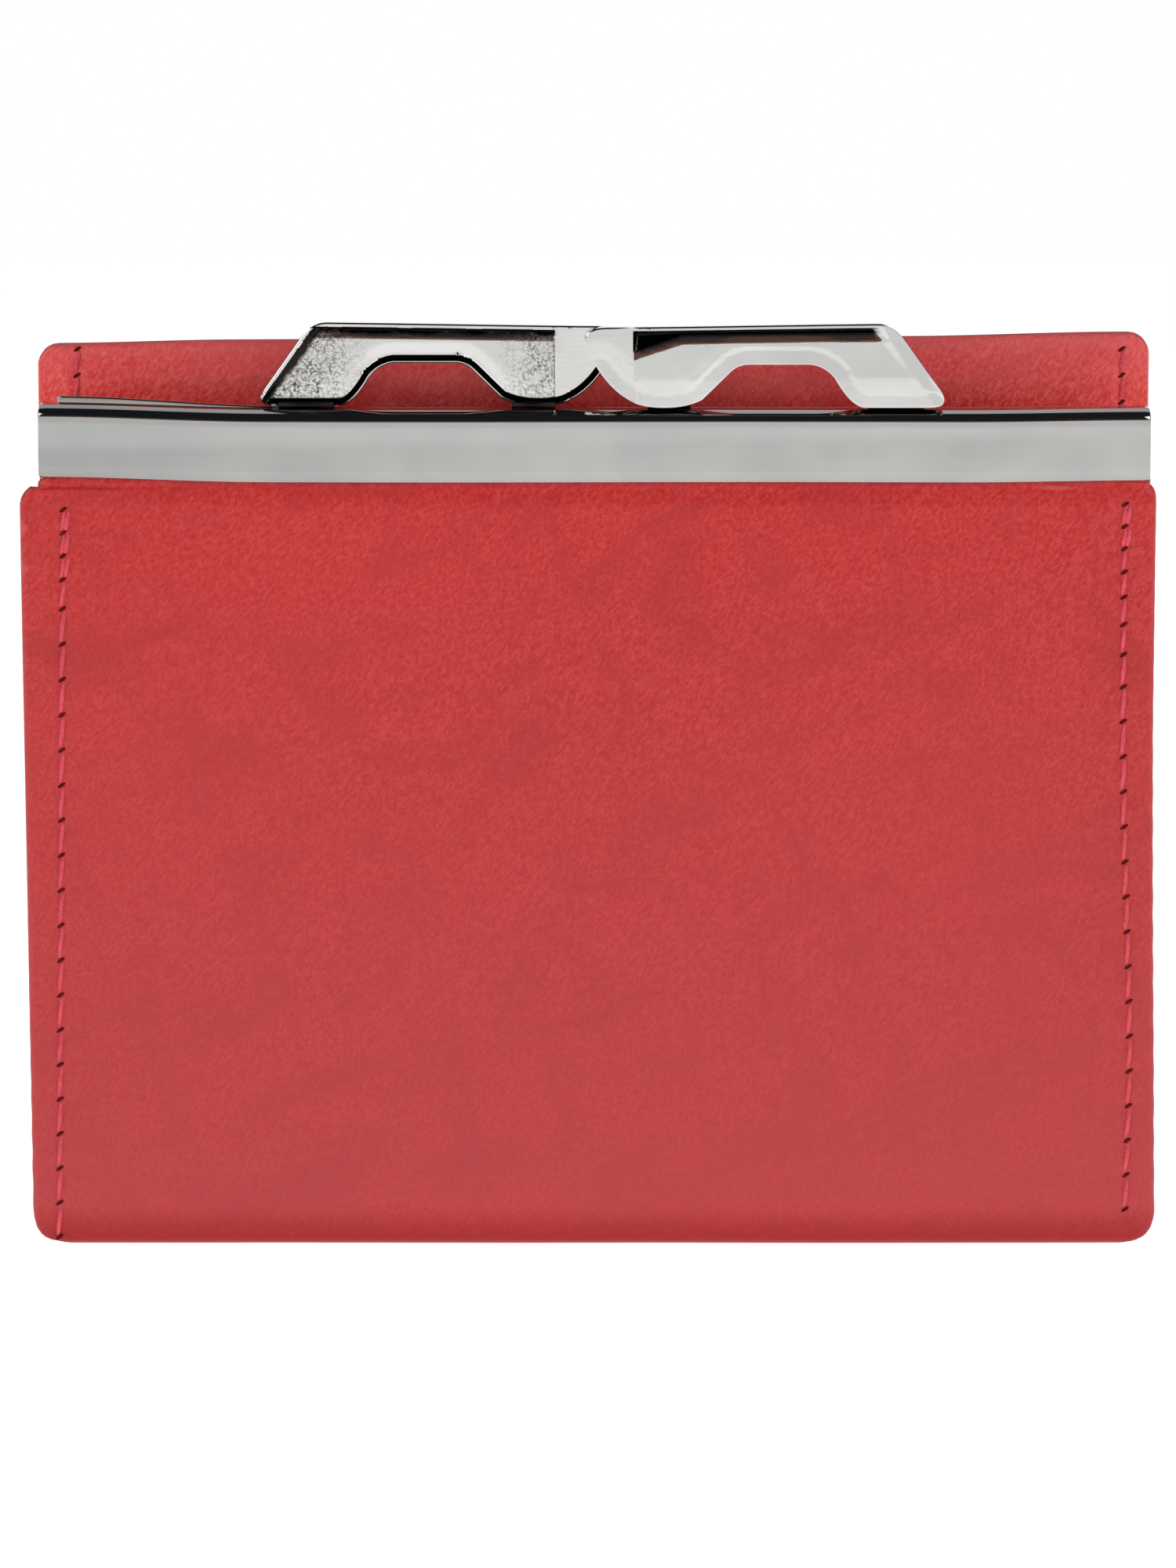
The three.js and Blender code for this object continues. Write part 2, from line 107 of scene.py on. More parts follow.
# ---- camera, first of all: nearly level with the purse, a little above it ----
def look_at(name, data, target, azimuth, elevation, distance):
    """Adds a camera or a lamp that looks at target, in metres, from that direction in degrees."""
    turn, rise = math.radians(azimuth), math.radians(elevation)
    away = Vector((math.sin(turn) * math.cos(rise), -math.cos(turn) * math.cos(rise), math.sin(rise)))
    holder = bpy.data.objects.new(name, data)
    holder.location = target + away * distance
    holder.rotation_mode = "QUATERNION"
    holder.rotation_quaternion = (-away).to_track_quat("-Z", "Y")
    bpy.context.scene.collection.objects.link(holder)
    return holder


def look_from_the_front():
    target = Vector((-0.19, PANEL_FACE, 43.93)) * MM
    data = bpy.data.cameras.new("camera")
    data.sensor_width = 36
    data.lens = 123.35
    data.clip_start = 0.01
    data.clip_end = 20
    bpy.context.scene.camera = look_at("camera", data, target, 0, 7.42, 500.1 * MM)


look_from_the_front()


# ---- material building ----
def colour_stops(node, stops):
    """Sets a colour ramp from (position, colour) pairs."""
    points = node.color_ramp.elements
    while len(points) < len(stops):
        points.new(0.5)
    for point, (at, colour) in zip(points, stops):
        point.position = at
        point.color = (*colour, 1)


class Nodes:
    """A short way to write a node material."""

    def __init__(self, name):
        self.material = bpy.data.materials.new(name)
        self.material.use_nodes = True
        self.tree = self.material.node_tree
        self.shader = self.tree.nodes["Principled BSDF"]

    def add(self, kind, inputs=None, **settings):
        node = self.tree.nodes.new("ShaderNode" + kind)
        for key, value in settings.items():
            setattr(node, key, value)
        for key, value in (inputs or {}).items():
            self.feed(node, key, value)
        return node

    def feed(self, node, key, value):
        socket = node.inputs[key]
        if isinstance(value, bpy.types.NodeSocket):
            self.tree.links.new(value, socket)
        else:
            socket.default_value = value

    def set(self, **values):
        for key, value in values.items():
            self.feed(self.shader, key.replace("_", " "), value)

    def place(self, scale, turn=(0, 0, 0)):
        """Object coordinates turned, then times a scale per axis, so a grain keeps its real size."""
        coordinates = self.add("TexCoord").outputs["Object"]
        turned = self.add("Mapping", {"Vector": coordinates, "Rotation": turn}).outputs[0]
        return self.add("Mapping", {"Vector": turned, "Scale": scale}).outputs[0]

    def noise(self, vector, scale, detail=3.0, rough=0.5, distortion=0.0):
        return self.add(
            "TexNoise",
            {
                "Vector": vector,
                "Scale": scale,
                "Detail": detail,
                "Roughness": rough,
                "Distortion": distortion,
            },
        ).outputs["Fac"]

    def ramp(self, value, stops):
        node = self.add("ValToRGB", {"Fac": value})
        colour_stops(node, stops)
        return node.outputs["Color"]

    def grade(self, value, low, high, to_low, to_high):
        return self.add(
            "MapRange",
            {"Value": value, "From Min": low, "From Max": high, "To Min": to_low, "To Max": to_high},
        ).outputs["Result"]

    def axis(self, vector, letter):
        return self.add("SeparateXYZ", {"Vector": vector}).outputs[letter]

    def math(self, operation, a, b):
        return self.add("Math", {0: a, 1: b}, operation=operation).outputs[0]

    def times(self, a, b):
        return self.math("MULTIPLY", a, b)

    def mix(self, share, a, b):
        node = self.add("Mix", data_type="RGBA")
        self.feed(node, 0, share)
        self.feed(node, 6, a)
        self.feed(node, 7, b)
        return node.outputs[2]

    def bump(self, height, strength, distance, normal=None):
        node = self.add("Bump", {"Height": height, "Strength": strength, "Distance": distance})
        if normal is not None:
            self.feed(node, "Normal", normal)
        return node.outputs["Normal"]


def red_leather(name, tone=(0.50, 0.0155, 0.0140), shine=0.42, painted_haze=None, creased_from=None):
    """Smooth calf: fine slanting grain, dark specks, faint creases, soft mottling, lighter worn edges. The
    grain is paler on its crests and darker in its valleys, partly its own colour and partly painted sheen and
    painted
    shade. painted_haze is (z where it starts, z where it is full, share): a paler, less saturated stretch of
    leather, a painted sheen. creased_from is the x from which fine slanting wrinkles grow towards a seam. The
    foot is darkened with painted contact shade."""
    n = Nodes(name)
    edge = (0.62, 0.10, 0.09)
    place = n.place((1, 1, 1))
    height_up = n.axis(place, "Z")
    slanted = n.place((1.0, 1.0, 0.55), (0, -0.6, 0))
    grain = n.noise(slanted, 3300, 5, 0.62, 0.5)
    pores = n.noise(place, 5200, 3, 0.6)
    specks = n.noise(slanted, 2300, 4, 0.7)
    creases = n.noise(n.place((1.0, 1.0, 0.3), (0, 0.3, 0)), 210, 5, 0.62, 0.8)
    streaks = n.noise(n.place((0.55, 1.0, 1.3), (0, 0.35, 0)), 130, 5, 0.66, 0.9)
    broad = n.noise(place, 26, 2, 0.5)
    deep = tuple(c * 0.74 for c in tone)
    pale = (min(1, tone[0] * 1.12), tone[1] * 1.7, tone[2] * 1.75)
    valley = (tone[0] * 0.78, tone[1] * 0.15, tone[2] * 0.12)
    crest = (min(1, tone[0] * 1.09), tone[1] * 2.9, tone[2] * 3.1)
    painted_sheen_tint = (tone[0] * 0.86, tone[1] * 2.9, tone[2] * 3.8)
    # grain colour: darker in the valleys and paler on the crests, partly the grain's own colour and partly
    # painted shade and a painted sheen
    colour = n.ramp(grain, [(0.33, valley), (0.48, tone), (0.66, crest)])
    colour = n.mix(n.grade(specks, 0.55, 0.67, 0.0, 0.7), colour, (*valley, 1))
    colour = n.mix(n.grade(streaks, 0.50, 0.68, 0.0, 0.62), colour, (*deep, 1))
    colour = n.mix(n.grade(creases, 0.52, 0.68, 0.0, 0.40), colour, (*deep, 1))
    colour = n.mix(n.grade(broad, 0.40, 0.70, 0.0, 0.20), colour, (*pale, 1))
    # painted sheen: a paler, less saturated stretch of leather over a band of heights, standing in for light
    if painted_haze:
        start, full, share = painted_haze
        colour = n.mix(n.grade(height_up, start * MM, full * MM, 0.0, share), colour, (*painted_sheen_tint, 1))
    worn = n.add("NewGeometry").outputs["Pointiness"]
    colour = n.mix(n.grade(worn, 0.515, 0.60, 0.0, 0.5), colour, (*edge, 1))
    # painted shade: the leather darkens towards the foot, standing in for contact shade near the floor
    colour = n.mix(n.grade(height_up, 0.0006, 0.0034, 0.55, 0.0), colour, (*(c * 0.4 for c in tone), 1))
    rough = n.grade(grain, 0.3, 0.7, shine - 0.06, shine + 0.12)
    relief = n.math("ADD", n.times(pores, 0.45), grain)
    normal = n.bump(relief, 0.34, 0.00007)
    normal = n.bump(creases, 0.26, 0.0004, normal)
    if creased_from:
        across = n.axis(place, "X")
        wrinkles = n.noise(n.place((1.0, 1.0, 0.40), (0, -0.5, 0)), 800, 4, 0.6, 0.9)
        near = n.grade(across, creased_from * MM, (creased_from + 11) * MM, 0.0, 0.9)
        normal = n.bump(n.times(wrinkles, near), 0.55, 0.0004, normal)
    n.set(Base_Color=colour, Roughness=rough, Normal=normal)
    n.set(Specular_IOR_Level=n.grade(height_up, 0.0006, 0.0042, 0.08, 0.40))
    n.set(Sheen_Weight=0.05, Sheen_Roughness=0.45, Sheen_Tint=(1, 0.62, 0.6, 1))
    return n.material


def polished_metal(name, tone, rough, ripple=0.05, painted_dim_end=0.0, hairline=0.015, shadowed=False):
    """Nickel plate: nearly a mirror, with faint ripples, cloudy patches and hairline scratches.
    painted_dim_end is how much painted shade darkens the bar's left end, with a soft lighter band of painted
    reflection above; shadowed paints shade on the dished side below its rim."""
    n = Nodes(name)
    place = n.place((1, 1, 1))
    cloud = n.noise(place, 140, 3, 0.5)
    hair = n.noise(n.place((0.12, 1, 1)), 2600, 3, 0.6)
    wave = n.noise(n.place((0.35, 1, 1)), 120, 2, 0.4)
    low = (tone * 0.93, tone * 0.93, tone * 0.91)
    high = (tone * 1.04, tone * 1.04, tone * 1.01)
    colour = n.ramp(cloud, [(0.35, low), (0.7, high)])
    if painted_dim_end:
        # painted shade: the bar's left end is darkened, standing in for dimmer reflections there
        along = n.axis(place, "X")
        painted_haze = n.grade(along, -0.052, -0.006, painted_dim_end, 0.0)
        colour = n.mix(painted_haze, colour, (tone * 0.5, tone * 0.5, tone * 0.49, 1))
        # painted reflection: a soft lighter band along the bar's upper part
        up = n.axis(place, "Z")
        painted_sky_band = n.math("ADD", n.times(along, -0.012), up)
        painted_sky_band = n.grade(painted_sky_band, (BAR_BASE + 3.3) * MM, (BAR_BASE + 4.3) * MM, 0.0, 0.30)
        colour = n.mix(painted_sky_band, colour, (tone * 1.25, tone * 1.25, tone * 1.23, 1))
    if shadowed:
        # painted shade: a near-black band below the dished side's top rim
        colour = n.mix(under_the_rim(n, 3.0), colour, PAINTED_HOLLOW_SHADE)
    fine = n.times(hair, hairline / 0.015)
    roughness = n.grade(n.math("ADD", cloud, fine), 0.7, 1.4, rough * 0.7, rough * 1.9)
    normal = n.bump(wave, ripple, 0.001)
    normal = n.bump(hair, hairline, 0.0002, normal)
    n.set(Base_Color=colour, Metallic=1.0, Roughness=roughness, Normal=normal)
    return n.material


# painted shade: the near-black colour laid where shade falls in the levers' hollows, under their rims and
# along their walls
PAINTED_HOLLOW_SHADE = (0.022, 0.018, 0.016, 1)


def on_the_lever(n):
    """Where a point is on either lever, in mm: out from the middle, below the top, and in from the
    slanted end."""
    parts = n.add("SeparateXYZ", {"Vector": n.place((1, 1, 1))})
    out = n.math("ABSOLUTE", n.math("SUBTRACT", parts.outputs["X"], CLASP_X * MM), 0.0)
    out = n.math("DIVIDE", out, MM)
    up = n.math("SUBTRACT", n.math("DIVIDE", parts.outputs["Z"], MM), LEVER_Z)
    down = n.math("SUBTRACT", n.math("ADD", n.times(out, TOP_SLOPE), LEVER_TOP), up)
    slant = n.times(n.math("SUBTRACT", SLANT_FOOT, out), SLANT_ACROSS)
    slant = n.math("SUBTRACT", slant, n.times(up, SLANT_UP))
    return out, down, slant


def under_the_rim(n, nose):
    """A band of painted shade below the top rim of the dished side, much deeper beside the nose, which ends
    at nose.
    """
    out, down, slant = on_the_lever(n)
    deeper = n.grade(out, nose, 7.5, 1.5, 0.0)
    band = n.grade(n.math("SUBTRACT", down, deeper), 0.72, 0.98, 1.0, 0.0)
    band = n.times(band, n.grade(down, 0.36, 0.44, 0.0, 1.0))
    band = n.times(band, n.grade(out, nose - 0.08, nose, 0.0, 1.0))
    return n.times(band, n.grade(slant, 1.3, 2.0, 0.0, 1.0))


def cast_metal(name):
    """The hollow of a plated casting: painted shade under its rim and along its slanted wall, smooth over the
    arch, pitted above both feet.
    """
    n = Nodes(name)
    place = n.place((1, 1, 1))
    pits = n.noise(place, 3300, 4, 0.7, 0.4)
    patches = n.noise(place, 700, 3, 0.6)
    out, down, slant = on_the_lever(n)
    outer = n.grade(out, 21.0, 27.0, 0.0, 1.0)
    inner = n.grade(out, 10.0, 6.0, 0.0, 0.75)
    pitted = n.math("MAXIMUM", outer, inner)
    spotted = n.times(pitted, n.grade(patches, 0.34, 0.56, 0.3, 1.0))
    dark = n.times(n.grade(pits, 0.545, 0.43, 0.0, 1.0), spotted)
    colour = n.mix(dark, (0.62, 0.62, 0.605, 1), (0.05, 0.045, 0.04, 1))
    rough_edge = n.times(n.math("SUBTRACT", patches, 0.5), 0.9)
    # painted shade: a dark band under the rim and along the slanted wall, with a ragged edge
    band = n.grade(n.math("ADD", down, rough_edge), 0.80, 1.05, 1.0, 0.0)
    wall = n.grade(n.math("ADD", slant, rough_edge), 0.95, 1.35, 1.0, 0.0)
    colour = n.mix(n.math("MAXIMUM", band, wall), colour, PAINTED_HOLLOW_SHADE)
    roughness = n.grade(pitted, 0.0, 1.0, 0.07, 0.22)
    lift = n.times(pits, n.grade(pitted, 0.0, 1.0, 0.12, 1.0))
    n.set(Base_Color=colour, Metallic=1.0, Roughness=roughness, Normal=n.bump(lift, 0.4, 0.00010))
    return n.material


def woven_cloth(name, tone):
    """A plain weave, warp over weft."""
    n = Nodes(name)
    place = n.place((1, 1, 1))
    yarn = {"Vector": place, "Scale": 620, "Distortion": 0.6}
    warp = n.add("TexWave", yarn, bands_direction="X").outputs["Fac"]
    weft = n.add("TexWave", yarn, bands_direction="Z").outputs["Fac"]
    weave = n.times(warp, weft)
    fuzz = n.noise(place, 500, 4, 0.6)
    dark = tuple(c * 0.6 for c in tone)
    light = tuple(c * 1.5 for c in tone)
    colour = n.ramp(n.times(n.math("ADD", weave, fuzz), 0.5), [(0.25, dark), (0.7, light)])
    n.set(Base_Color=colour, Roughness=0.9, Normal=n.bump(weave, 0.6, 0.0003))
    n.set(Sheen_Weight=0.3, Sheen_Roughness=0.5)
    return n.material


def fibres(name, tone, scale, rough=0.8, stretch=(1, 1, 1), twist=None, sheen=0.2):
    """Thread, paper cord and pressed card: streaky fibre with some fuzz."""
    n = Nodes(name)
    streaks = n.noise(n.place(stretch), scale, 5, 0.65)
    height = streaks
    if twist:
        ply = n.add("TexWave", {"Vector": n.place((1, 1, 1)), "Scale": twist}, bands_direction="DIAGONAL")
        height = n.math("ADD", n.times(streaks, 0.4), ply.outputs["Fac"])
    dark = tuple(c * 0.72 for c in tone)
    light = tuple(min(1, c * 1.2) for c in tone)
    colour = n.ramp(streaks, [(0.3, dark), (0.68, light)])
    n.set(Base_Color=colour, Roughness=rough, Normal=n.bump(height, 0.5, 0.0002))
    n.set(Sheen_Weight=sheen, Specular_IOR_Level=sheen * 2)
    return n.material


# the front leather's lower part is paled with painted sheen
LEATHER_SKIN = red_leather("red_leather", painted_haze=(68, 6, 0.55))
# a brighter copy of the red leather: its higher tone is painted light on the back panel above the frame, and
# its top is paled with painted sheen
LEATHER_BACK = red_leather(
    "red_leather_back_panel", tone=(0.78, 0.045, 0.038), shine=0.34, painted_haze=(79, 85, 0.5), creased_from=34
)
LEATHER_SIDE = red_leather("red_leather_gusset", tone=(0.40, 0.020, 0.019), shine=0.48)
FRAME_CHROME = polished_metal("frame_nickel", tone=0.41, rough=0.11, painted_dim_end=0.36, hairline=0.003)
CLASP_CHROME = polished_metal("clasp_nickel", tone=0.64, rough=0.05, ripple=0.02)
CLASP_DISHED = polished_metal("clasp_nickel_dished", tone=0.59, rough=0.05, ripple=0.02, shadowed=True)
# painted shade: a near-black finish for the groove along the hollow side's lower edge
CLASP_DARK = polished_metal("clasp_groove_painted_shade", tone=0.03, rough=0.22)
# painted shade: the foot plates are near-black, standing in for the shade beneath the levers' feet
PAD_DARK = polished_metal("clasp_foot_painted_shade", tone=0.02, rough=0.3)
CLASP_CAST = cast_metal("clasp_casting")
RIVET_METAL = polished_metal("rivet_nickel", tone=0.42, rough=0.16)
LINING = woven_cloth("lining_weave", (0.045, 0.022, 0.026))
CARD = fibres("pressed_card", (0.48, 0.40, 0.27), 700, 0.95)
PAPER = fibres("paper_cord", (0.58, 0.46, 0.28), 900, 0.9, twist=420)
THREAD = fibres("waxed_thread", (0.76, 0.085, 0.115), 4000, 0.6, (1, 1, 0.3), twist=1500, sheen=0.08)
# painted shade: the needle holes' dark red-brown lens stands in for the shade inside each hole
NEEDLE_DARK = fibres("needle_hole", (0.11, 0.010, 0.010), 1500, 0.95, sheen=0.0)


# ---- mesh building ----
def make(name, points, faces, materials, body=None, slot=None, face_slots=None):
    """A smooth closed mesh from points in millimetres."""
    mesh = bpy.data.meshes.new(name)
    mesh.from_pydata([Vector(p) * MM for p in points], [], [tuple(int(i) for i in f) for f in faces])
    for material in materials:
        mesh.materials.append(material)
    if face_slots is not None:
        mesh.polygons.foreach_set("material_index", face_slots)
    work = bmesh.new()
    work.from_mesh(mesh)
    bmesh.ops.recalc_face_normals(work, faces=work.faces)
    work.to_mesh(mesh)
    work.free()
    mesh.polygons.foreach_set("use_smooth", [True] * len(mesh.polygons))
    piece = bpy.data.objects.new(name, mesh)
    bpy.context.scene.collection.objects.link(piece)
    if body:
        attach(piece, body)
    return piece


def steps(low, high, pitch):
    """Evenly spaced values from low to high, about pitch apart, both ends included."""
    return np.linspace(low, high, max(2, int(round(abs(high - low) / pitch)) + 1))


def slab(grid, thick, centred=False):
    """Closes a sheet of outer points (rows, columns, 3) into leather of that thickness with a round rim."""
    rings = 5
    rows, columns, _ = grid.shape
    across = np.gradient(grid, axis=1)
    down = np.gradient(grid, axis=0)
    normal = np.cross(across, down)
    normal /= np.maximum(np.linalg.norm(normal, axis=2, keepdims=True), 1e-9)
    inward = normal.reshape(-1, 3)
    outer = grid.reshape(-1, 3) - inward * (thick / 2 if centred else 0)
    count = rows * columns
    index = np.arange(count).reshape(rows, columns)
    faces = []
    for r in range(rows - 1):
        for c in range(columns - 1):
            a, b, d, e = index[r, c], index[r, c + 1], index[r + 1, c + 1], index[r + 1, c]
            faces.append((a, b, d, e))
            faces.append((a + count, e + count, d + count, b + count))
    rim = list(index[0, :-1]) + list(index[:-1, -1]) + list(index[-1, :0:-1]) + list(index[:0:-1, 0])
    rim = np.array(rim)
    centre = outer.mean(axis=0)
    edge = outer[rim]
    along = np.roll(edge, -1, axis=0) - np.roll(edge, 1, axis=0)
    out = np.cross(along, inward[rim])
    out /= np.maximum(np.linalg.norm(out, axis=1, keepdims=True), 1e-9)
    if np.sum(out * (edge - centre)) < 0:
        out = -out
    points = [outer, outer + inward * thick]
    loops = [rim]
    base = 2 * count
    for ring in range(1, rings + 1):
        angle = math.pi * ring / (rings + 1)
        lift = thick / 2 * math.sin(angle)
        sink = thick / 2 * (1 - math.cos(angle))
        points.append(edge + out * lift + inward[rim] * sink)
        loops.append(np.arange(base, base + len(rim)))
        base += len(rim)
    loops.append(rim + count)
    for first, second in zip(loops, loops[1:]):
        for i in range(len(rim)):
            j = (i + 1) % len(rim)
            faces.append((first[i], second[i], second[j], first[j]))
    return np.concatenate(points), faces


def ease(value, low, high):
    """0 below low, 1 above high, smooth between."""
    t = min(1.0, max(0.0, (value - low) / (high - low)))
    return t * t * (3 - 2 * t)


def bell(value, centre, width):
    return math.exp(-(((value - centre) / width) ** 2))


def rumple(x, z, seed, size, height):
    return height * noise.noise(Vector((x / size, z / size, seed)))


def column_shares():
    """Shares of the panels' width, closer together near both edges, where the seams run."""
    edge, fine, coarse = 6.5, 0.42, 1.15
    width = 2 * HALF_WIDTH
    left = steps(0, edge, fine) / width
    middle = steps(edge, width - edge, coarse)[1:-1] / width
    return np.concatenate([left, middle, 1 - left[::-1]])


SHARES = column_shares()


def ring_faces(rings, sides):
    """Faces between neighbouring rings of points, and over both ends."""
    faces = []
    for i in range(rings - 1):
        for k in range(sides):
            m = (k + 1) % sides
            faces.append((i * sides + k, i * sides + m, (i + 1) * sides + m, (i + 1) * sides + k))
    faces.append(tuple(range(sides))[::-1])
    faces.append(tuple((rings - 1) * sides + k for k in range(sides)))
    return faces


def between(left, right, shares):
    """The places at those shares of the way from left to right."""
    return [left + (right - left) * s for s in shares]


# ---- the leather body's outlines ----
RIM = LEATHER / 2  # a sheet's round rim stands out this far past its grid


def left_edge(z):
    return -HALF_WIDTH - 0.3 + 0.35 * (1 - z / 70) + RIM


def right_edge(z):
    return HALF_WIDTH - 0.05 + 0.8 * max(0.0, 1 - z / 50) ** 1.2 - RIM


def corner_in(z, radius, at):
    """How far a rounded corner of that radius, ending at height at, pulls the edge in."""
    off = abs(z - at)
    if off >= radius:
        return 0.0
    return radius - math.sqrt(max(0.0, radius**2 - (radius - off) ** 2))


def left_seam(z):
    return -49.95 + 1.15 * z / 66


def right_seam(z):
    return 49.5 + 1.05 * bell(z, 17, 20) + 0.25 * bell(z, 0, 6)


def hole_heights(high, low, crowd, crowd_from, crowd_to):
    """Needle holes from the top down, one stitch apart, up to that share closer together near the top."""
    heights = [high]
    while heights[-1] - STITCH > low:
        closer = crowd * ease(heights[-1], crowd_from, crowd_to)
        heights.append(heights[-1] - STITCH * (1 - closer))
    return heights


# each seam: its line, x for a height, and its needle holes
FRONT_SEAMS = {
    "left": (left_seam, hole_heights(69.5, 0.8, 0.35, 60, 66)),
    "right": (right_seam, hole_heights(70.0, 0.8, 0.38, 50, 70)),
}
BACK_SEAMS = {
    "left": (lambda z: -48.6 + 0.02 * (z - 77), hole_heights(83.7, 3.5, 0.25, 78, 82)),
    "right": (lambda z: 50.3, hole_heights(83.7, 3.5, 0.25, 78, 82)),
}


def seam_dent(x, z, seam):
    """How far the leather is pulled in beside a seam, deepest at each needle hole."""
    line, holes = seam
    off = abs(x - line(z))
    if off > 2.4 or z > holes[0] + 1.5 or z < holes[-1] - 1.5:
        return 0.0
    gap = min(abs(z - hole) for hole in holes)
    phase = math.cos(math.pi * min(1.0, 2 * gap / STITCH))
    dent = 0.15 * math.exp(-((off / 0.55) ** 2)) * (1 + 0.5 * phase) + 0.03 * bell(off, 1.4, 0.5) * phase
    return dent * ease(holes[0] + 0.9 - z, 0, 0.9)


def puckers(x, z, x_low, x_high, top, strength):
    """Small upright wrinkles just below a clamped edge."""
    if z < top - 7 or x < x_low or x > x_high:
        return 0.0
    middle = (x_low + x_high) / 2
    fade = bell(x, middle, (x_high - x_low) / 3) * ease(z, top - 6, top - 0.5)
    return strength * fade * noise.noise(Vector((x / 1.1, z / 5, 3.3)))


def front_y(x, z):
    """The front panel's outer face: a soft crown between the seams, dents along them."""
    across = (x - 0.2) / (HALF_WIDTH - 3)
    crown = 0.30 * max(0.0, 1 - across**2) * math.sin(math.pi * min(1.0, max(0.0, z / 72)))
    wave = rumple(x, z, 1.7, 26, 0.20) + rumple(x, z, 5.1, 9, 0.035)
    dent = sum(seam_dent(x, z, seam) for seam in FRONT_SEAMS.values())
    hem = 0.10 * bell(x, left_seam(z) - 1.3, 0.9) + 0.10 * bell(x, right_seam(z) + 1.3, 0.9)
    open_end = ease(-x, 35, 50)
    ledge = 0.26 * ease(z, 71.30, 71.62) + 0.05 * ease(z, 71.62, 71.95) * math.sin(x * 1.3 + z * 9)
    tucked = 0.35 * ease(z, 69.6, BAR_BASE) * (1 - open_end) + (0.05 * ease(z, 70.4, 71.2) + ledge) * open_end
    pucker = puckers(x, z, -52, -34, 71.5, 0.16) + puckers(x, z, 38, 52, 71.5, 0.10)
    return PANEL_FACE - crown - wave * ease(BAR_BASE - z, 0, 8) + dent - hem + tucked - pucker


# ---- seams ----
def tube(path, radii, sides=8):
    """Rings of points round a path, closed at both ends."""
    path = np.array(path, float)
    ahead = np.gradient(path, axis=0)
    ahead /= np.linalg.norm(ahead, axis=1, keepdims=True)
    guide = np.array([1.0, 0.0, 0.0])
    if abs(ahead[:, 0]).mean() > 0.8:
        guide = np.array([0.0, 0.0, 1.0])
    points = []
    for p, t, r in zip(path, ahead, radii):
        side = np.cross(t, guide)
        side /= np.linalg.norm(side)
        up = np.cross(side, t)
        for k in range(sides):
            a = 2 * math.pi * k / sides
            points.append(p + r * (math.cos(a) * side + math.sin(a) * up))
    return points, ring_faces(len(path), sides)


def gather(parts):
    """Joins several (points, faces) into one."""
    points, faces = [], []
    for more, more_faces in parts:
        start = len(points)
        points.extend(more)
        faces.extend(tuple(i + start for i in f) for f in more_faces)
    return points, faces


def stitches(seam, surface, toward, doubled=0.0):
    """Threads that rise between the needle holes of a seam and dive into each one. surface(x, z) is the
    leather's face there; toward is the way that it faces, -1 or +1 along Y. Above the height doubled,
    when it is given, a second thread runs beside the first."""
    line, holes = seam
    parts = []
    rows = [(low, high, 0.0) for high, low in zip(holes, holes[1:])]
    if doubled:
        rows += [(low, high, 0.36) for low, high, _ in rows if low >= doubled]
    for low, high, aside in rows:
        path, radii = [], []
        for t in np.linspace(0, 1, 11):
            z = low + 0.12 + (high - low - 0.24) * t
            x = line(z) + aside + 0.30 * (t - 0.5)
            rise = 0.25 * math.sin(math.pi * t) ** 0.6 - 0.17
            path.append((x, surface(x, z) + toward * rise, z))
            radii.append(0.22 * (0.6 + 0.4 * math.sin(math.pi * t) ** 0.5))
        parts.append(tube(path, radii))
    return gather(parts)


def needle_holes(seam, surface, toward):
    """A dark slanted slit at each needle hole, a thin lens laid in the leather; its dark colour is painted
    shade in the hole.
    """
    line, holes = seam
    parts = []
    for z in holes:
        path, radii = [], []
        for t in np.linspace(-1, 1, 7):
            x = line(z) + 0.34 * t
            height = z + 0.22 * t
            path.append((x, surface(x, height) + toward * 0.04, height))
            radii.append(0.17 * math.sqrt(max(0.04, 1 - t * t)))
        parts.append(tube(path, radii, 7))
    return gather(parts)


# ---- leather body ----
def front_cover():
    """One leather: from inside the frame's channel, down the front, round the lower edge, to mid base."""
    bend = 2.0
    face_heights = np.concatenate([steps(BAR_BASE, 71.1, 0.12), steps(70.8, bend, 0.42)])
    rows = []
    tucked = 1.2  # the hidden edge in the channel ends this far inside the bar's ends
    for z in steps(76.4, 72.4, 0.8):
        line = between(BAR_LOW.x + tucked, BAR_HIGH.x - tucked, SHARES)
        rows.append([(x, PANEL_FACE + 0.38, z) for x in line])
    for z in face_heights:
        if z > CHANNEL_MOUTH:
            left_shoulder = BAR_LOW.x - 0.22 + RIM - left_edge(z)
        else:
            left_shoulder = corner_in(z, 1.6, 71.45)
        left = left_edge(z) + corner_in(z, BASE_CORNER, 0) + left_shoulder
        right = right_edge(z) - corner_in(z, BASE_CORNER, 0) - corner_in(z, 0.9, 71.7)
        rows.append([(x, front_y(x, z), z) for x in between(left, right, SHARES)])
    for angle in steps(0.12, math.pi / 2, 0.2):
        z = bend * (1 - math.sin(angle))
        back = bend * (1 - math.cos(angle))
        left = left_edge(z) + corner_in(z, BASE_CORNER, 0)
        right = right_edge(z) - corner_in(z, BASE_CORNER, 0)
        line = between(left, right, SHARES)
        rows.append([(x, front_y(x, bend) + back, z) for x in line])
    left = left_edge(0) + BASE_CORNER
    right = right_edge(0) - BASE_CORNER
    foot = front_y(0, bend) + bend
    line = between(left, right, SHARES)
    for y in steps(foot + 0.6, -0.1, 0.8):
        rows.append([(x, y, 0.012 * abs(math.sin(x * 1.7))) for x in line])
    points, faces = slab(np.array(rows), LEATHER)
    piece = make("front_cover", points, faces, [LEATHER_SKIN], slot="red_leather")
    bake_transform(piece)
    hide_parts("front_panel_lower", "front_panel_fold", "front_panel_upper", "base_panel")


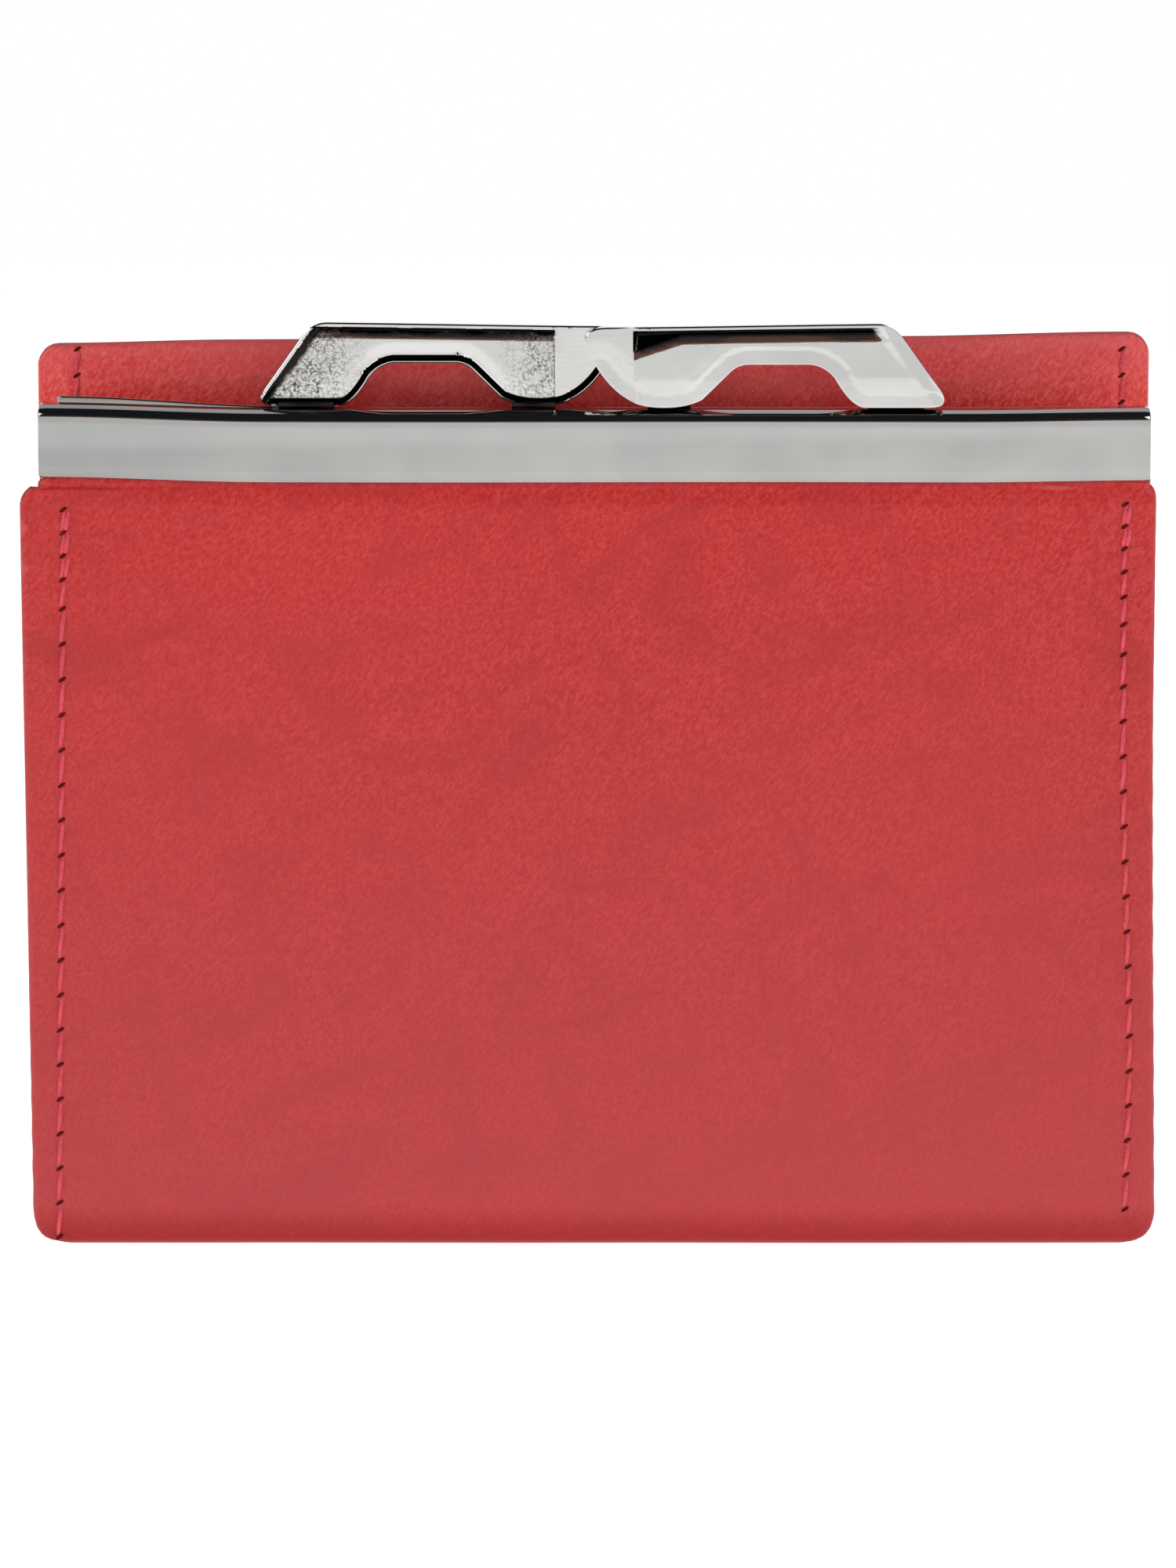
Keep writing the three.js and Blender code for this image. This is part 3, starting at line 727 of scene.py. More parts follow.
BACK_SHIFT = 0.37  # the tall back panel is shifted this far to the right
BACK_LEFT = -HALF_WIDTH + BACK_SHIFT - 0.2 + RIM
BACK_RIGHT = HALF_WIDTH + BACK_SHIFT + 0.1 - RIM


def back_top(x):
    """The tall back panel's top edge: a little higher at the right end."""
    return 84.7 - RIM + 0.005 * x + 0.32 * ease(x, 30, 50) - 0.25 * ease(-x, 34, 50)


def edge_gap(x, z):
    """Distance from the nearest edge of the tall back panel."""
    return max(0.0, min(x - BACK_LEFT, BACK_RIGHT - x, back_top(x) - z))


def pinch(x, z):
    """The two leathers of the back panel draw together at its edges, over the card between them."""
    return 0.52 * (1 - ease(edge_gap(x, z), 0.2, 3.2))


def back_dent(x, z):
    """How far the seams pull either face of the back panel in, fading out at its edges."""
    return sum(seam_dent(x, z, seam) for seam in BACK_SEAMS.values()) * ease(edge_gap(x, z), 0.2, 1.6)


def inner_y(x, z):
    wave = rumple(x, z, 9.2, 18, 0.30) + rumple(x, z, 2.2, 6, 0.05)
    creases = puckers(x, z, 30, 50, 83.5, 0.20) + puckers(x, z, -46, -20, 83.5, 0.10)
    creases *= ease(edge_gap(x, z), 0.8, 3)
    return INNER_FACE + pinch(x, z) + back_dent(x, z) - wave * ease(edge_gap(x, z), 0.5, 6) - creases


def outer_y(x, z):
    wave = rumple(x, z, 4.4, 30, 0.25)
    crown = 0.25 * math.sin(math.pi * min(1.0, max(0.0, z / 84)))
    return OUTER_FACE - pinch(x, z) - back_dent(x, z) + (wave + crown) * ease(edge_gap(x, z), 0.5, 8)


def back_rows(low, surface, pitch):
    """Rows of the tall back panel from its rounded top corners down to the height low."""
    rows = []
    drop = np.concatenate([[0, 0.06, 0.18, 0.36, 0.6, 0.9, 1.2], steps(1.5, BACK_TALL - low, pitch)])
    for d in drop:
        pull = corner_in(-d, BACK_CORNER, 0)
        row = []
        for x in between(BACK_LEFT + pull, BACK_RIGHT - pull, SHARES):
            z = low + (back_top(x) - low) * (1 - d / (BACK_TALL - low))
            row.append((x, surface(x, z), z))
        rows.append(row)
    return rows


def back_cover():
    """The leather of the back: its top edge, down the back, round the lower edge, to mid base."""
    bend = 2.2
    rows = back_rows(bend, outer_y, 0.75)
    middle = (BACK_LEFT + BACK_RIGHT) / 2
    half = (BACK_RIGHT - BACK_LEFT) / 2
    for row in rows:
        for j, (x, y, z) in enumerate(row):
            narrow = (half - corner_in(z, BASE_CORNER, 0)) / half
            row[j] = (middle + (x - middle) * narrow, y, z)
    for angle in steps(0.12, math.pi / 2, 0.2):
        z = bend * (1 - math.sin(angle))
        pull = corner_in(z, BASE_CORNER, 0)
        line = between(BACK_LEFT + pull, BACK_RIGHT - pull, SHARES)
        rows.append([(x, outer_y(x, bend) - bend * (1 - math.cos(angle)), z) for x in line])
    line = between(BACK_LEFT + BASE_CORNER, BACK_RIGHT - BASE_CORNER, SHARES)
    for y in steps(OUTER_FACE - bend - 0.6, 0.15, 0.8):
        rows.append([(x, y, 0.012 * abs(math.sin(x * 1.7))) for x in line])
    points, faces = slab(np.array(rows)[:, ::-1], LEATHER)
    piece = make("back_cover", points, faces, [LEATHER_SKIN], BACK, "red_leather")
    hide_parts("back_panel_outer")


def back_inner():
    """The leather on the tall back panel's front side, seen above the frame."""
    points, faces = slab(np.array(back_rows(1.3, inner_y, 0.6)), 1.0)
    piece = make("back_inner_leather", points, faces, [LEATHER_BACK], BACK, "red_leather")
    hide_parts("back_panel_inner")


def divider_wall():
    """The leather between the coin pocket and the slip pocket, clamped in the rear channel."""
    rows = []
    for z in np.concatenate([steps(76.6, 69.5, 0.35), steps(68.5, WALL_LOW.z, 1.3)]):
        forward = 0.95 * ease(z, 69.9, 71.6)
        row = []
        for x in steps(WALL_LOW.x, WALL_HIGH.x, 1.3):
            wave = rumple(x, z, 6.6, 20, 0.08) * ease(70 - z, 0, 8)
            row.append((x, WALL_HIGH.y - forward + wave, z))
        rows.append(row)
    points, faces = slab(np.array(rows)[:, ::-1], 0.9)
    piece = make("divider_leather", points, faces, [LEATHER_SIDE], BACK, "red_leather")
    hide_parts("coin_pocket_back_wall")


def lining(name, low, high, depth_at, nodes, body=None):
    """A thin woven lining, held flat against the leather. Without a body it is baked in place, like the front
    panel.
    """
    rows = []
    for z in steps(high.z, low.z, 0.9):
        rows.append([(x, depth_at(z) + rumple(x, z, 8.8, 11, 0.03), z) for x in steps(low.x, high.x, 1.2)])
    grid = np.array(rows)
    points, faces = slab(grid, 0.22)
    piece = make(name, points, faces, [LINING], body, "lining_cloth")
    if body is None:
        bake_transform(piece)
    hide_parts(*nodes)


def gusset(name, side, line_at, low, high, thick=0.7):
    """A folded side leather. line_at(z) gives its middle line in the XY plane, half on each side."""
    rows = []
    for z in steps(high, low, 0.9):
        fine = smooth_line(line_at(z), 5)
        rows.append([(side * x, y + rumple(x, z, 3.0 + side, 9, 0.08), z) for x, y in fine])
    grid = np.array(rows)
    if side < 0:
        grid = grid[:, ::-1]
    points, faces = slab(grid, thick, centred=True)
    return make(name, points, faces, [LEATHER_SIDE], slot="red_leather")


def smooth_line(points, between):
    """A smooth line through the points (Catmull-Rom), with that many steps between two of them."""
    p = [np.array(q, float) for q in points]
    p = [2 * p[0] - p[1], *p, 2 * p[-1] - p[-2]]
    out = []
    for a, b, c, d in zip(p, p[1:], p[2:], p[3:]):
        for t in np.linspace(0, 1, between, endpoint=False):
            square = (2 * a - 5 * b + 4 * c - d) * t**2
            cube = (3 * b - a - 3 * c + d) * t**3
            out.append(0.5 * (2 * b + (c - a) * t + square + cube))
    out.append(p[-2])
    return out


def coin_line(z):
    """Below the hinge the gusset has flanges sewn to the panel and to the wall."""
    flange = 4.2 * (1 - ease(z, 41.5, 44.5)) - 1.2 * (1 - ease(z, 1.3, 4))
    front, back = -6.25, -1.0
    apex = 43.6 + 0.6 * ease(z, 30, 47)
    return [
        (47.7 + flange, front + 0.5 * ease(z, 42, 45)),
        (47.4 + flange * 0.4, front + 0.5 * ease(z, 42, 45)),
        (46.4, -5.3),
        (apex, -3.65),
        (46.4, -2.3),
        (47.4 + flange * 0.4, back - 0.75 * ease(z, 42, 45)),
        (47.7 + flange * 0.75, back - 0.75 * ease(z, 42, 45)),
    ]


def coin_line_top(z):
    """Above the hinge it lies inside the frame's arms, its fold sinking towards the bar."""
    apex = 43.9 - 5.4 * ease(z, 47, 70)
    return [(47.6, -5.3), (46.0, -5.0), (apex, -3.65), (46.0, -2.3), (47.6, -2.0)]


def slip_line(z):
    pull = 2.0 * (1 - ease(z, 1.2, 4.5))
    return [(51.7 - pull, 0.25), (50.2 - pull, 0.45), (47.4, 2.35), (50.2 - pull, 4.2), (51.7 - pull, 4.4)]


def gussets():
    for word, side in (("left", -1), ("right", 1)):
        lower = gusset(word + "_coin_gusset_leather", side, coin_line, 1.3, 46.6)
        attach(lower, BACK)
        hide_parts(word + "_coin_gusset")
        top = gusset(word + "_coin_gusset_top_leather", side, coin_line_top, 46.8, 69.9, 0.6)
        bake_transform(top)
        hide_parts(word + "_coin_gusset_top")
        slip = gusset(word + "_slip_gusset_leather", side, slip_line, 1.3, 70)
        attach(slip, BACK)
        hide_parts(word + "_slip_gusset")


# ---- frame ----
def bow(x, side):
    """The bar isn't quite straight: its ends ride up, the left one more, and the rear half's most."""
    rear = 0.55 * ease(-x, 22, 50) if side > 0 else 0.0
    return 0.50 * ease(-x, 30, 51) + 0.20 * ease(x, 34, 52) + 0.02 * math.sin(x / 9) + rear


def arc(cy, cz, radius, start, end, count):
    """Points round an arc in the YZ plane, angles in degrees from +Y."""
    return [
        (cy + radius * math.cos(math.radians(a)), cz + radius * math.sin(math.radians(a)))
        for a in np.linspace(start, end, count)
    ]


def channel_outline():
    """Section of the front half: its face, a tight bend, a slow curve on to the flange, a turned lip."""
    t = FRAME_METAL
    face, gap = -HALF_GAP - CHANNEL_DEPTH, -HALF_GAP
    top = BAR_TOP - BAR_BASE + FLANGE_RISE
    bend, shoulder = 0.95, 3.2
    turn = math.radians(118)
    sill = top - 1.28
    outline = [(face + 0.33, 0.0), (face + 0.17, 0.05), (face + 0.07, 0.2), (face, 0.5)]
    outline += [(face, z) for z in np.linspace(1.0, sill - 0.5, 6)]
    outline += arc(face + bend, sill, bend, 180, 118, 9)
    last_y, last_z = outline[-1]
    centre_y = last_y - shoulder * math.cos(turn)
    centre_z = last_z - shoulder * math.sin(turn)
    outline += arc(centre_y, centre_z, shoulder, 116, 97, 7)
    outline += arc(gap - 0.15, top - 0.15, 0.15, 90, 0, 4)
    outline += [(gap, 0.75), (gap - 0.12, 0.6), (gap - t + 0.12, 0.6), (gap - t, 0.75)]
    outline += [(gap - t, top - t - 0.1), (gap - t - 0.1, top - t)]
    outline += [(face + 1.9, top - t - 0.15), (face + 1.0, top - t - 0.5), (face + t + 0.1, sill - 0.1)]
    outline += [(face + t, sill - 0.5), (face + t, 0.55), (face + t + 0.05, 0.15)]
    return outline


def sweep(outline, stations):
    """Closed bar along X. stations holds (x, shrink, lift)."""
    outline = np.array(outline)
    middle = outline.mean(axis=0)
    reach = np.linalg.norm(outline - middle, axis=1, keepdims=True)
    points = []
    for x, shrink, lift in stations:
        points += [(x, y, z + lift) for y, z in outline + shrink * (middle - outline) / reach]
    return points, ring_faces(len(stations), len(outline))


def plate(outline, x0, x1):
    """A flat plate between two X values, from an outline in YZ, with eased edges."""
    bevel = 0.12
    stations = [(x0, bevel, 0), (x0 + bevel * 0.3, bevel * 0.3, 0), (x0 + bevel, 0, 0)]
    stations += [(x1 - bevel, 0, 0), (x1 - bevel * 0.3, bevel * 0.3, 0), (x1, bevel, 0)]
    return sweep(outline, stations)


def arm_outline(side):
    """A side arm: fills the channel's end, then runs down to a round end at the hinge. It has no bore:
    the rivet passes through it."""
    base = HINGE.z
    outline = [(-0.13, 78.3), (-3.0, 78.3), (-3.55, 77.7), (-3.55, 72.6), (-3.3, 72.1), (-2.3, 72.0)]
    outline += [(-2.1, base)]
    outline += arc(0, base, 2.1, 190, 350, 13)
    outline += [(2.1, base + 0.5), (-0.13, 56)]
    return [(y if side < 0 else -y, z) for y, z in outline]


def half_frame(name, node, side):
    """One half: the bar, and an arm at each end. The rear bar starts a little further left."""
    low, high = span(node)
    bar_left = low.x - (0.35 if side > 0 else 0.0)
    outline = [(y if side < 0 else -y, z) for y, z in channel_outline()]
    rounding = [(0, 0.14), (0.05, 0.05), (0.16, 0.0)]  # in from the end, and how much smaller there
    line = [(bar_left + into, shrink) for into, shrink in rounding]
    line += [(x, 0.0) for x in steps(bar_left + 0.8, high.x - 0.8, 1.0)]
    line += [(high.x - into, shrink) for into, shrink in reversed(rounding)]
    parts = [sweep(outline, [(x, shrink, BAR_BASE + bow(x, side)) for x, shrink in line])]
    shy = 0.12
    for x0, x1 in ((low.x + shy, low.x + ARM_METAL), (high.x - ARM_METAL, high.x - shy)):
        lift = bow(x0, side)
        raised = [(y, z + lift * ease(z, 64, 72)) for y, z in arm_outline(side)]
        parts.append(plate(raised, x0, x1))
    points, faces = gather(parts)
    points = [(x, y + MID_Y, z) for x, y, z in points]
    piece = make(name, points, faces, [FRAME_CHROME], FRONT if side < 0 else BACK, "frame_metal")
    sharpen(piece, 38)
    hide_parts(node)


def sharpen(piece, degrees):
    """Keeps edges crisp where two faces meet at more than that angle."""
    work = bmesh.new()
    work.from_mesh(piece.data)
    for edge in work.edges:
        edge.smooth = len(edge.link_faces) == 2 and edge.calc_face_angle(0) < math.radians(degrees)
    work.to_mesh(piece.data)
    work.free()


# ---- clasp levers ----
def curve(start, control, end, count=6):
    """A bend from start to end pulled towards control; start itself is left out."""
    a, b, c = (np.array(p, float) for p in (start, control, end))
    shares = np.linspace(0, 1, count + 1)[1:]
    return [tuple((1 - t) ** 2 * a + 2 * t * (1 - t) * b + t * t * c) for t in shares]


def lever_outline():
    """From the outer foot up the slanted end, along the top, round the nose, and back over the arch.
    u runs outward from the clasp's middle and w up from the feet. Returns the lower part's start too."""
    line = [(30.4, -0.3)]
    line += curve((30.4, -0.3), (32.3, -0.25), (31.35, 1.25), 9)
    line += [(28.1, 5.8)]
    line += curve((28.1, 5.8), (26.95, 7.5), (25.4, 7.45), 10)
    line += [(20, 7.38), (8, 7.2), (2, 7.12)]
    line += curve((0.9, 7.11), (-1.3, 7.2), (-1.55, 6.1), 8)
    line += curve((-1.55, 6.1), (-1.7, 5.2), (-0.6, 3.7), 6)
    lower = len(line)
    line += curve((-0.6, 3.7), (1.0, 1.0), (3.3, 0.05), 8)
    line += curve((3.3, 0.05), (4.2, -0.3), (5.8, -0.3), 5)
    line += curve((5.8, -0.3), (7.9, -0.3), (9.3, 0.45), 7)
    line += [(11.9, 3.0)]
    line += curve((11.9, 3.0), (12.6, 3.7), (13.6, 3.7))
    line += [(19.3, 3.7)]
    line += curve((19.3, 3.7), (20.6, 3.55), (21.5, 2.5))
    line += curve((21.5, 2.5), (22.9, 0.0), (24.2, -0.3), 8)
    return line, lower


def spread(line, pitch):
    """Evenly spaced points along a closed outline."""
    points = np.array(line, float)
    points = np.vstack([points, points[:1]])
    gaps = np.linalg.norm(np.diff(points, axis=0), axis=1)
    along = np.concatenate([[0], np.cumsum(gaps)])
    count = max(2, int(along[-1] / pitch))
    at = np.linspace(0, along[-1], count + 1)[:-1]
    return np.stack([np.interp(at, along, points[:, 0]), np.interp(at, along, points[:, 1])], axis=1)


def distance_to(points, line, closed=True):
    """Distance from each point to a polyline."""
    ends = np.vstack([line, line[:1]]) if closed else line
    a, b = ends[:-1], ends[1:]
    best = np.full(len(points), 1e9)
    for p, q in zip(a, b):
        d = q - p
        t = np.clip(((points - p) @ d) / max(d @ d, 1e-12), 0, 1)
        best = np.minimum(best, np.linalg.norm(points - (p + t[:, None] * d), axis=1))
    return best


def inside(points, line):
    """Which points lie inside a closed outline."""
    x, y = points[:, 0], points[:, 1]
    result = np.zeros(len(points), bool)
    for (x0, y0), (x1, y1) in zip(line, np.roll(line, -1, axis=0)):
        crosses = (y0 > y) != (y1 > y)
        if y0 != y1:
            result ^= crosses & (x < (x1 - x0) * (y - y0) / (y1 - y0) + x0)
    return result


def soft_step(value, low, high):
    t = np.clip((value - low) / (high - low), 0, 1)
    return t * t * (3 - 2 * t)


# where the lever's mesh needs points: distances in from its outline, from the clasp's middle, below its
# top edge, and in from its slanted end
LEVER_LOOPS = (0.05, 0.10, 0.16, 0.20, 0.26, 0.34, 0.46, 0.56, 0.64, 0.66)
LEVER_LOOPS += (0.70, 0.75, 0.84, 1.0, 1.25, 1.55, 1.9, 2.4, 3.0)
NOSE_LINES = (2.85, 2.91, 2.95, 2.99, 3.03, 3.12, 4.30, 4.34, 4.38, 4.42)
TOP_LINES = (0.36, 0.40, 0.44, 0.48, 0.52, 1.0, 1.45)
SLANT_LINES = (0.30, 0.36, 0.42, 0.85, 0.95)


def from_top(plan):
    """Distance below the lever's top edge, which rises a little outward."""
    return LEVER_TOP + TOP_SLOPE * plan[:, 0] - plan[:, 1]


def from_slant(plan):
    """Distance inward from the slanted outer end."""
    return (SLANT_FOOT - plan[:, 0]) * SLANT_ACROSS - plan[:, 1] * SLANT_UP


def ridge_points():
    """Points along the lines where the lever's relief changes sharply."""
    points = [(u, w) for u in NOSE_LINES for w in np.arange(-0.2, 7.1, 0.2)]
    points += [(u, LEVER_TOP + TOP_SLOPE * u - t) for t in TOP_LINES for u in np.arange(2.8, 27.6, 0.25)]
    for d in SLANT_LINES:
        points += [(SLANT_FOOT - (d + SLANT_UP * w) / SLANT_ACROSS, w) for w in np.arange(0.3, 6.9, 0.2)]
    return np.array(points)


def apart(points, others, gap):
    """The points that are at least gap from every one of the others."""
    return points[np.array([np.min(np.sum((others - p) ** 2, axis=1)) > gap**2 for p in points])]


def lever_plan():
    """Points spread over the lever's outline in loops that follow it, with triangles between them."""
    line, lower = lever_outline()
    rim = spread(line, 0.24)
    tangent = np.roll(rim, -1, axis=0) - np.roll(rim, 1, axis=0)
    normal = np.stack([-tangent[:, 1], tangent[:, 0]], axis=1)
    normal /= np.linalg.norm(normal, axis=1, keepdims=True)
    if not inside(rim[:1] + normal[:1] * 0.1, rim)[0]:
        normal = -normal
    ridges = ridge_points()
    ridges = ridges[inside(ridges, rim)]
    ridges = ridges[distance_to(ridges, rim) > 0.12]
    kept = []
    for d in LEVER_LOOPS:
        loop = rim + normal * d
        loop = loop[inside(loop, rim)]
        kept.append(loop[distance_to(loop, rim) > d * 0.97])
    loops = apart(np.vstack(kept), ridges, 0.035)
    step = 0.23
    grid = np.array([(u, w) for u in np.arange(-1.6, 31.8, step) for w in np.arange(-0.2, 7.5, step)])
    grid = grid[inside(grid, rim)]
    taken = np.vstack([rim, ridges, loops])
    grid = apart(grid, taken, 0.13)
    edges = [(i, (i + 1) % len(rim)) for i in range(len(rim))]
    points = [Vector(p) for p in np.vstack([taken, grid])]
    found, _, triangles, *_ = delaunay_2d_cdt(points, edges, [], 1, 1e-5)
    plan = np.array([tuple(p) for p in found])
    lower_line = np.array(line[lower:] + [line[0]])
    return plan, triangles, rim, lower_line


def turning_away(top, start, steep, slow):
    """Depth of a dish that leans back steeply for a stretch below the top rim, then less for another
    stretch. top is the distance below the top edge."""
    first = np.clip(start + steep - top, 0, steep)
    second = np.clip(start + steep + slow - top, 0, slow)
    return 0.30 * first + 0.235 * second + 0.02 * np.clip(5 - top, 0, 5)


def hollow_depth(plan, rim, lower_line):
    """The hollow back: a rim, a groove along the lower edge, a recess with a floor that deepens towards
    the top, and a flat facet over the nose."""
    u = plan[:, 0]
    edge = distance_to(plan, rim)
    low = distance_to(plan, lower_line, closed=False)
    groove = 0.80 * np.clip((low - 0.17) / 0.47, 0, 1) * (1 - soft_step(low, 0.66, 0.72))
    floor = 0.22 + turning_away(from_top(plan), 0.48, 0.50, 0.50) + 0.06 * (1 - soft_step(low, 0.7, 2.2))
    wall = soft_step(from_top(plan), 0.40, 0.50) * soft_step(u, 4.30, 4.42)
    wall *= soft_step(from_slant(plan), 0.36, 0.9) * soft_step(low, 0.69, 0.75)
    rounding = 0.10 * (1 - soft_step(edge, 0.0, 0.12))
    return np.maximum(rounding, np.maximum(groove, wall * floor))


def dished_depth(plan, rim, lower_line):
    """The front: an even bevel along the lower edge, then a dish that turns away towards the top rim,
    between a flat nose facet and a bright slanted end."""
    u = plan[:, 0]
    edge = distance_to(plan, rim)
    low = distance_to(plan, lower_line, closed=False)
    top = from_top(plan)
    beside_nose = 1.4 * np.clip((7.5 - u) / 4.5, 0, 1)
    dish = turning_away(top, 0.45, 0.45 + beside_nose, 0.75) * soft_step(u, 2.91, 3.03)
    dish *= soft_step(top, 0.36, 0.47) * soft_step(from_slant(plan), 0.9, 2.0)
    bevel = 0.03 * (1 - soft_step(low, 1.35, 1.60)) + 0.022 * (1 - soft_step(low, 1.5, 3.0))
    nose = 0.10 * soft_step(u, 0.8, 2.9) * (1 - soft_step(u, 2.9, 3.6))
    end = 0.08 * (1 - soft_step(from_slant(plan), 0.2, 1.2))
    rounding = 0.10 * (1 - soft_step(edge, 0.0, 0.12))
    return np.maximum(rounding, dish + bevel + nose + end)


def lever(turn, front_depth, back_depth):
    """turn is +1 for the right lever and -1 for the left; front_depth is what faces the camera."""
    plan, triangles, rim, lower_line = lever_plan()
    face = MID_Y - HALF_GAP - LEVER_THICK if turn > 0 else MID_Y + HALF_GAP
    front = face + front_depth(plan, rim, lower_line)
    back = face + LEVER_THICK - back_depth(plan, rim, lower_line)
    count = len(plan)
    x = CLASP_X + turn * plan[:, 0]
    z = LEVER_Z + plan[:, 1]
    points = np.concatenate([np.stack([x, front, z], axis=1), np.stack([x, back, z], axis=1)])
    faces = [tuple(t) for t in triangles]
    faces += [tuple(i + count for i in reversed(t)) for t in triangles]
    used = {}
    for t in triangles:
        for a, b in zip(t, (*t[1:], t[0])):
            used[(a, b)] = used.get((a, b), 0) + 1
    for a, b in used:
        if (b, a) not in used:
            faces.append((a, b, b + count, a + count))
    plate_faces = len(faces)
    parts = [(list(points), faces)]
    for u0, u1 in ((4.3, 8.3), (24.8, 30.0)):
        parts.append(pad(CLASP_X + turn * u0, CLASP_X + turn * u1, turn))
    points, faces = gather(parts)
    return points, faces, plate_faces, triangles, in_recess(plan, lower_line), in_groove(plan, lower_line)


def pad(xa, xb, turn):
    """A foot plate between lever and flange, reaching over its own half's flange; its near-black finish is
    painted shade.
    """
    x0, x1 = min(xa, xb), max(xa, xb)
    near, far = MID_Y - turn * 1.2, MID_Y + turn * (2.6 if turn > 0 else 1.2)
    y0, y1 = min(near, far), max(near, far)
    z0, z1 = BAR_TOP + FLANGE_RISE + 0.04, LEVER_Z + 0.1
    bevel = 0.1
    outline = [(y0 + bevel, z0), (y1 - bevel, z0), (y1, z0 + bevel), (y1, z1 - bevel)]
    outline += [(y1 - bevel, z1), (y0 + bevel, z1), (y0, z1 - bevel), (y0, z0 + bevel)]
    return sweep(outline, [(x0, bevel, 0), (x0 + bevel, 0, 0), (x1 - bevel, 0, 0), (x1, bevel, 0)])


def clasp():
    for name, node, turn, front, back, body in (
        ("right_lever", "rear_clasp_lever", 1, dished_depth, hollow_depth, BACK),
        ("left_lever", "front_clasp_lever", -1, hollow_depth, dished_depth, FRONT),
    ):
        points, faces, plate_faces, triangles, recess, groove = lever(turn, front, back)
        hollow_first = 0 if turn < 0 else len(triangles)
        dished_first = len(triangles) - hollow_first
        finishes = [CLASP_CHROME, CLASP_CAST, PAD_DARK, CLASP_DARK, CLASP_DISHED]
        plain, cast, pad_dark, dark, dished = range(len(finishes))
        slots = [plain] * plate_faces + [pad_dark] * (len(faces) - plate_faces)
        for i, triangle in enumerate(triangles):
            corners = list(triangle)
            slots[dished_first + i] = dished
            if recess[corners].all():
                slots[hollow_first + i] = cast
            elif groove[corners].all():
                # the groove gets the painted shade finish
                slots[hollow_first + i] = dark
        piece = make(name, points, faces, finishes, body, "clasp_metal", slots)
        sharpen(piece, 50)
        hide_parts(node)


def in_recess(plan, lower_line):
    """Which points of the hollow side are on the recess's cast floor or walls."""
    low = distance_to(plan, lower_line, closed=False)
    return (plan[:, 0] > 4.33) & (from_slant(plan) > 0.35) & (from_top(plan) > 0.39) & (low > 0.69)


def in_groove(plan, lower_line):
    """Which points of the hollow side are in the groove along the lower edge."""
    low = distance_to(plan, lower_line, closed=False)
    return (low > 0.155) & (low < 0.705)


# ---- hinge rivets and washers ----
def turned(outline, name, node):
    """A piece turned about the hinge axis. outline holds (x, radius)."""
    sides = 40
    points = []
    for x, r in outline:
        for k in range(sides):
            a = 2 * math.pi * k / sides
            points.append((x, HINGE.y + r * math.cos(a), HINGE.z + r * math.sin(a)))
    piece = make(name, points, ring_faces(len(outline), sides), [RIVET_METAL], BACK, "hinge_metal")
    sharpen(piece, 40)
    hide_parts(node)


def rivets():
    for word, side in (("left", -1), ("right", 1)):
        low, high = span(word + "_hinge_rivet")
        outer, inner = (low.x, high.x) if side < 0 else (high.x, low.x)
        into = -side
        domed = [(0, 0.35), (0.05, 0.9), (0.22, 1.4), (0.45, 1.65), (0.6, 1.7), (0.62, 1.0)]
        hammered = [(0.62, 1.0), (0.6, 1.7), (0.4, 1.62), (0.12, 1.2), (0, 0.5)]
        outline = [(outer + into * x, radius) for x, radius in domed]
        outline += [(inner - into * x, radius) for x, radius in hammered]
        turned(outline, word + "_rivet", word + "_hinge_rivet")


def keep_cad_with_materials():
    """CAD nodes whose shape is right: they only get a better material."""
    finishes = {
        "left_hinge_washer": RIVET_METAL,
        "right_hinge_washer": RIVET_METAL,
        "front_panel_stiffener": CARD,
        "back_panel_stiffener": CARD,
        "front_frame_cord": PAPER,
        "rear_frame_cord": PAPER,
    }
    for node, material in finishes.items():
        for holder in bpy.data.objects[node].material_slots:
            holder.material = material


# ---- seam pieces ----
def seam_pieces():
    for word, doubled in (("left", 62), ("right", 64)):
        seam = FRONT_SEAMS[word]
        thread = stitches(seam, front_y, -1, doubled)
        thread = make(word + "_front_thread", *thread, [THREAD], slot="red_thread")
        holes = needle_holes(seam, front_y, -1)
        holes = make(word + "_front_needle_holes", *holes, [NEEDLE_DARK], slot="red_thread")
        for piece in (thread, holes):
            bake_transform(piece)
        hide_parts(f"front_{word}_stitching", f"front_{word}_stitching_top")
        seam = BACK_SEAMS[word]
        both = gather([stitches(seam, inner_y, -1), stitches(seam, outer_y, 1)])
        thread = make(word + "_back_thread", *both, [THREAD], BACK, "red_thread")
        both = gather([needle_holes(seam, inner_y, -1), needle_holes(seam, outer_y, 1)])
        make(word + "_back_needle_holes", *both, [NEEDLE_DARK], BACK, "red_thread")
        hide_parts(f"back_{word}_stitching")


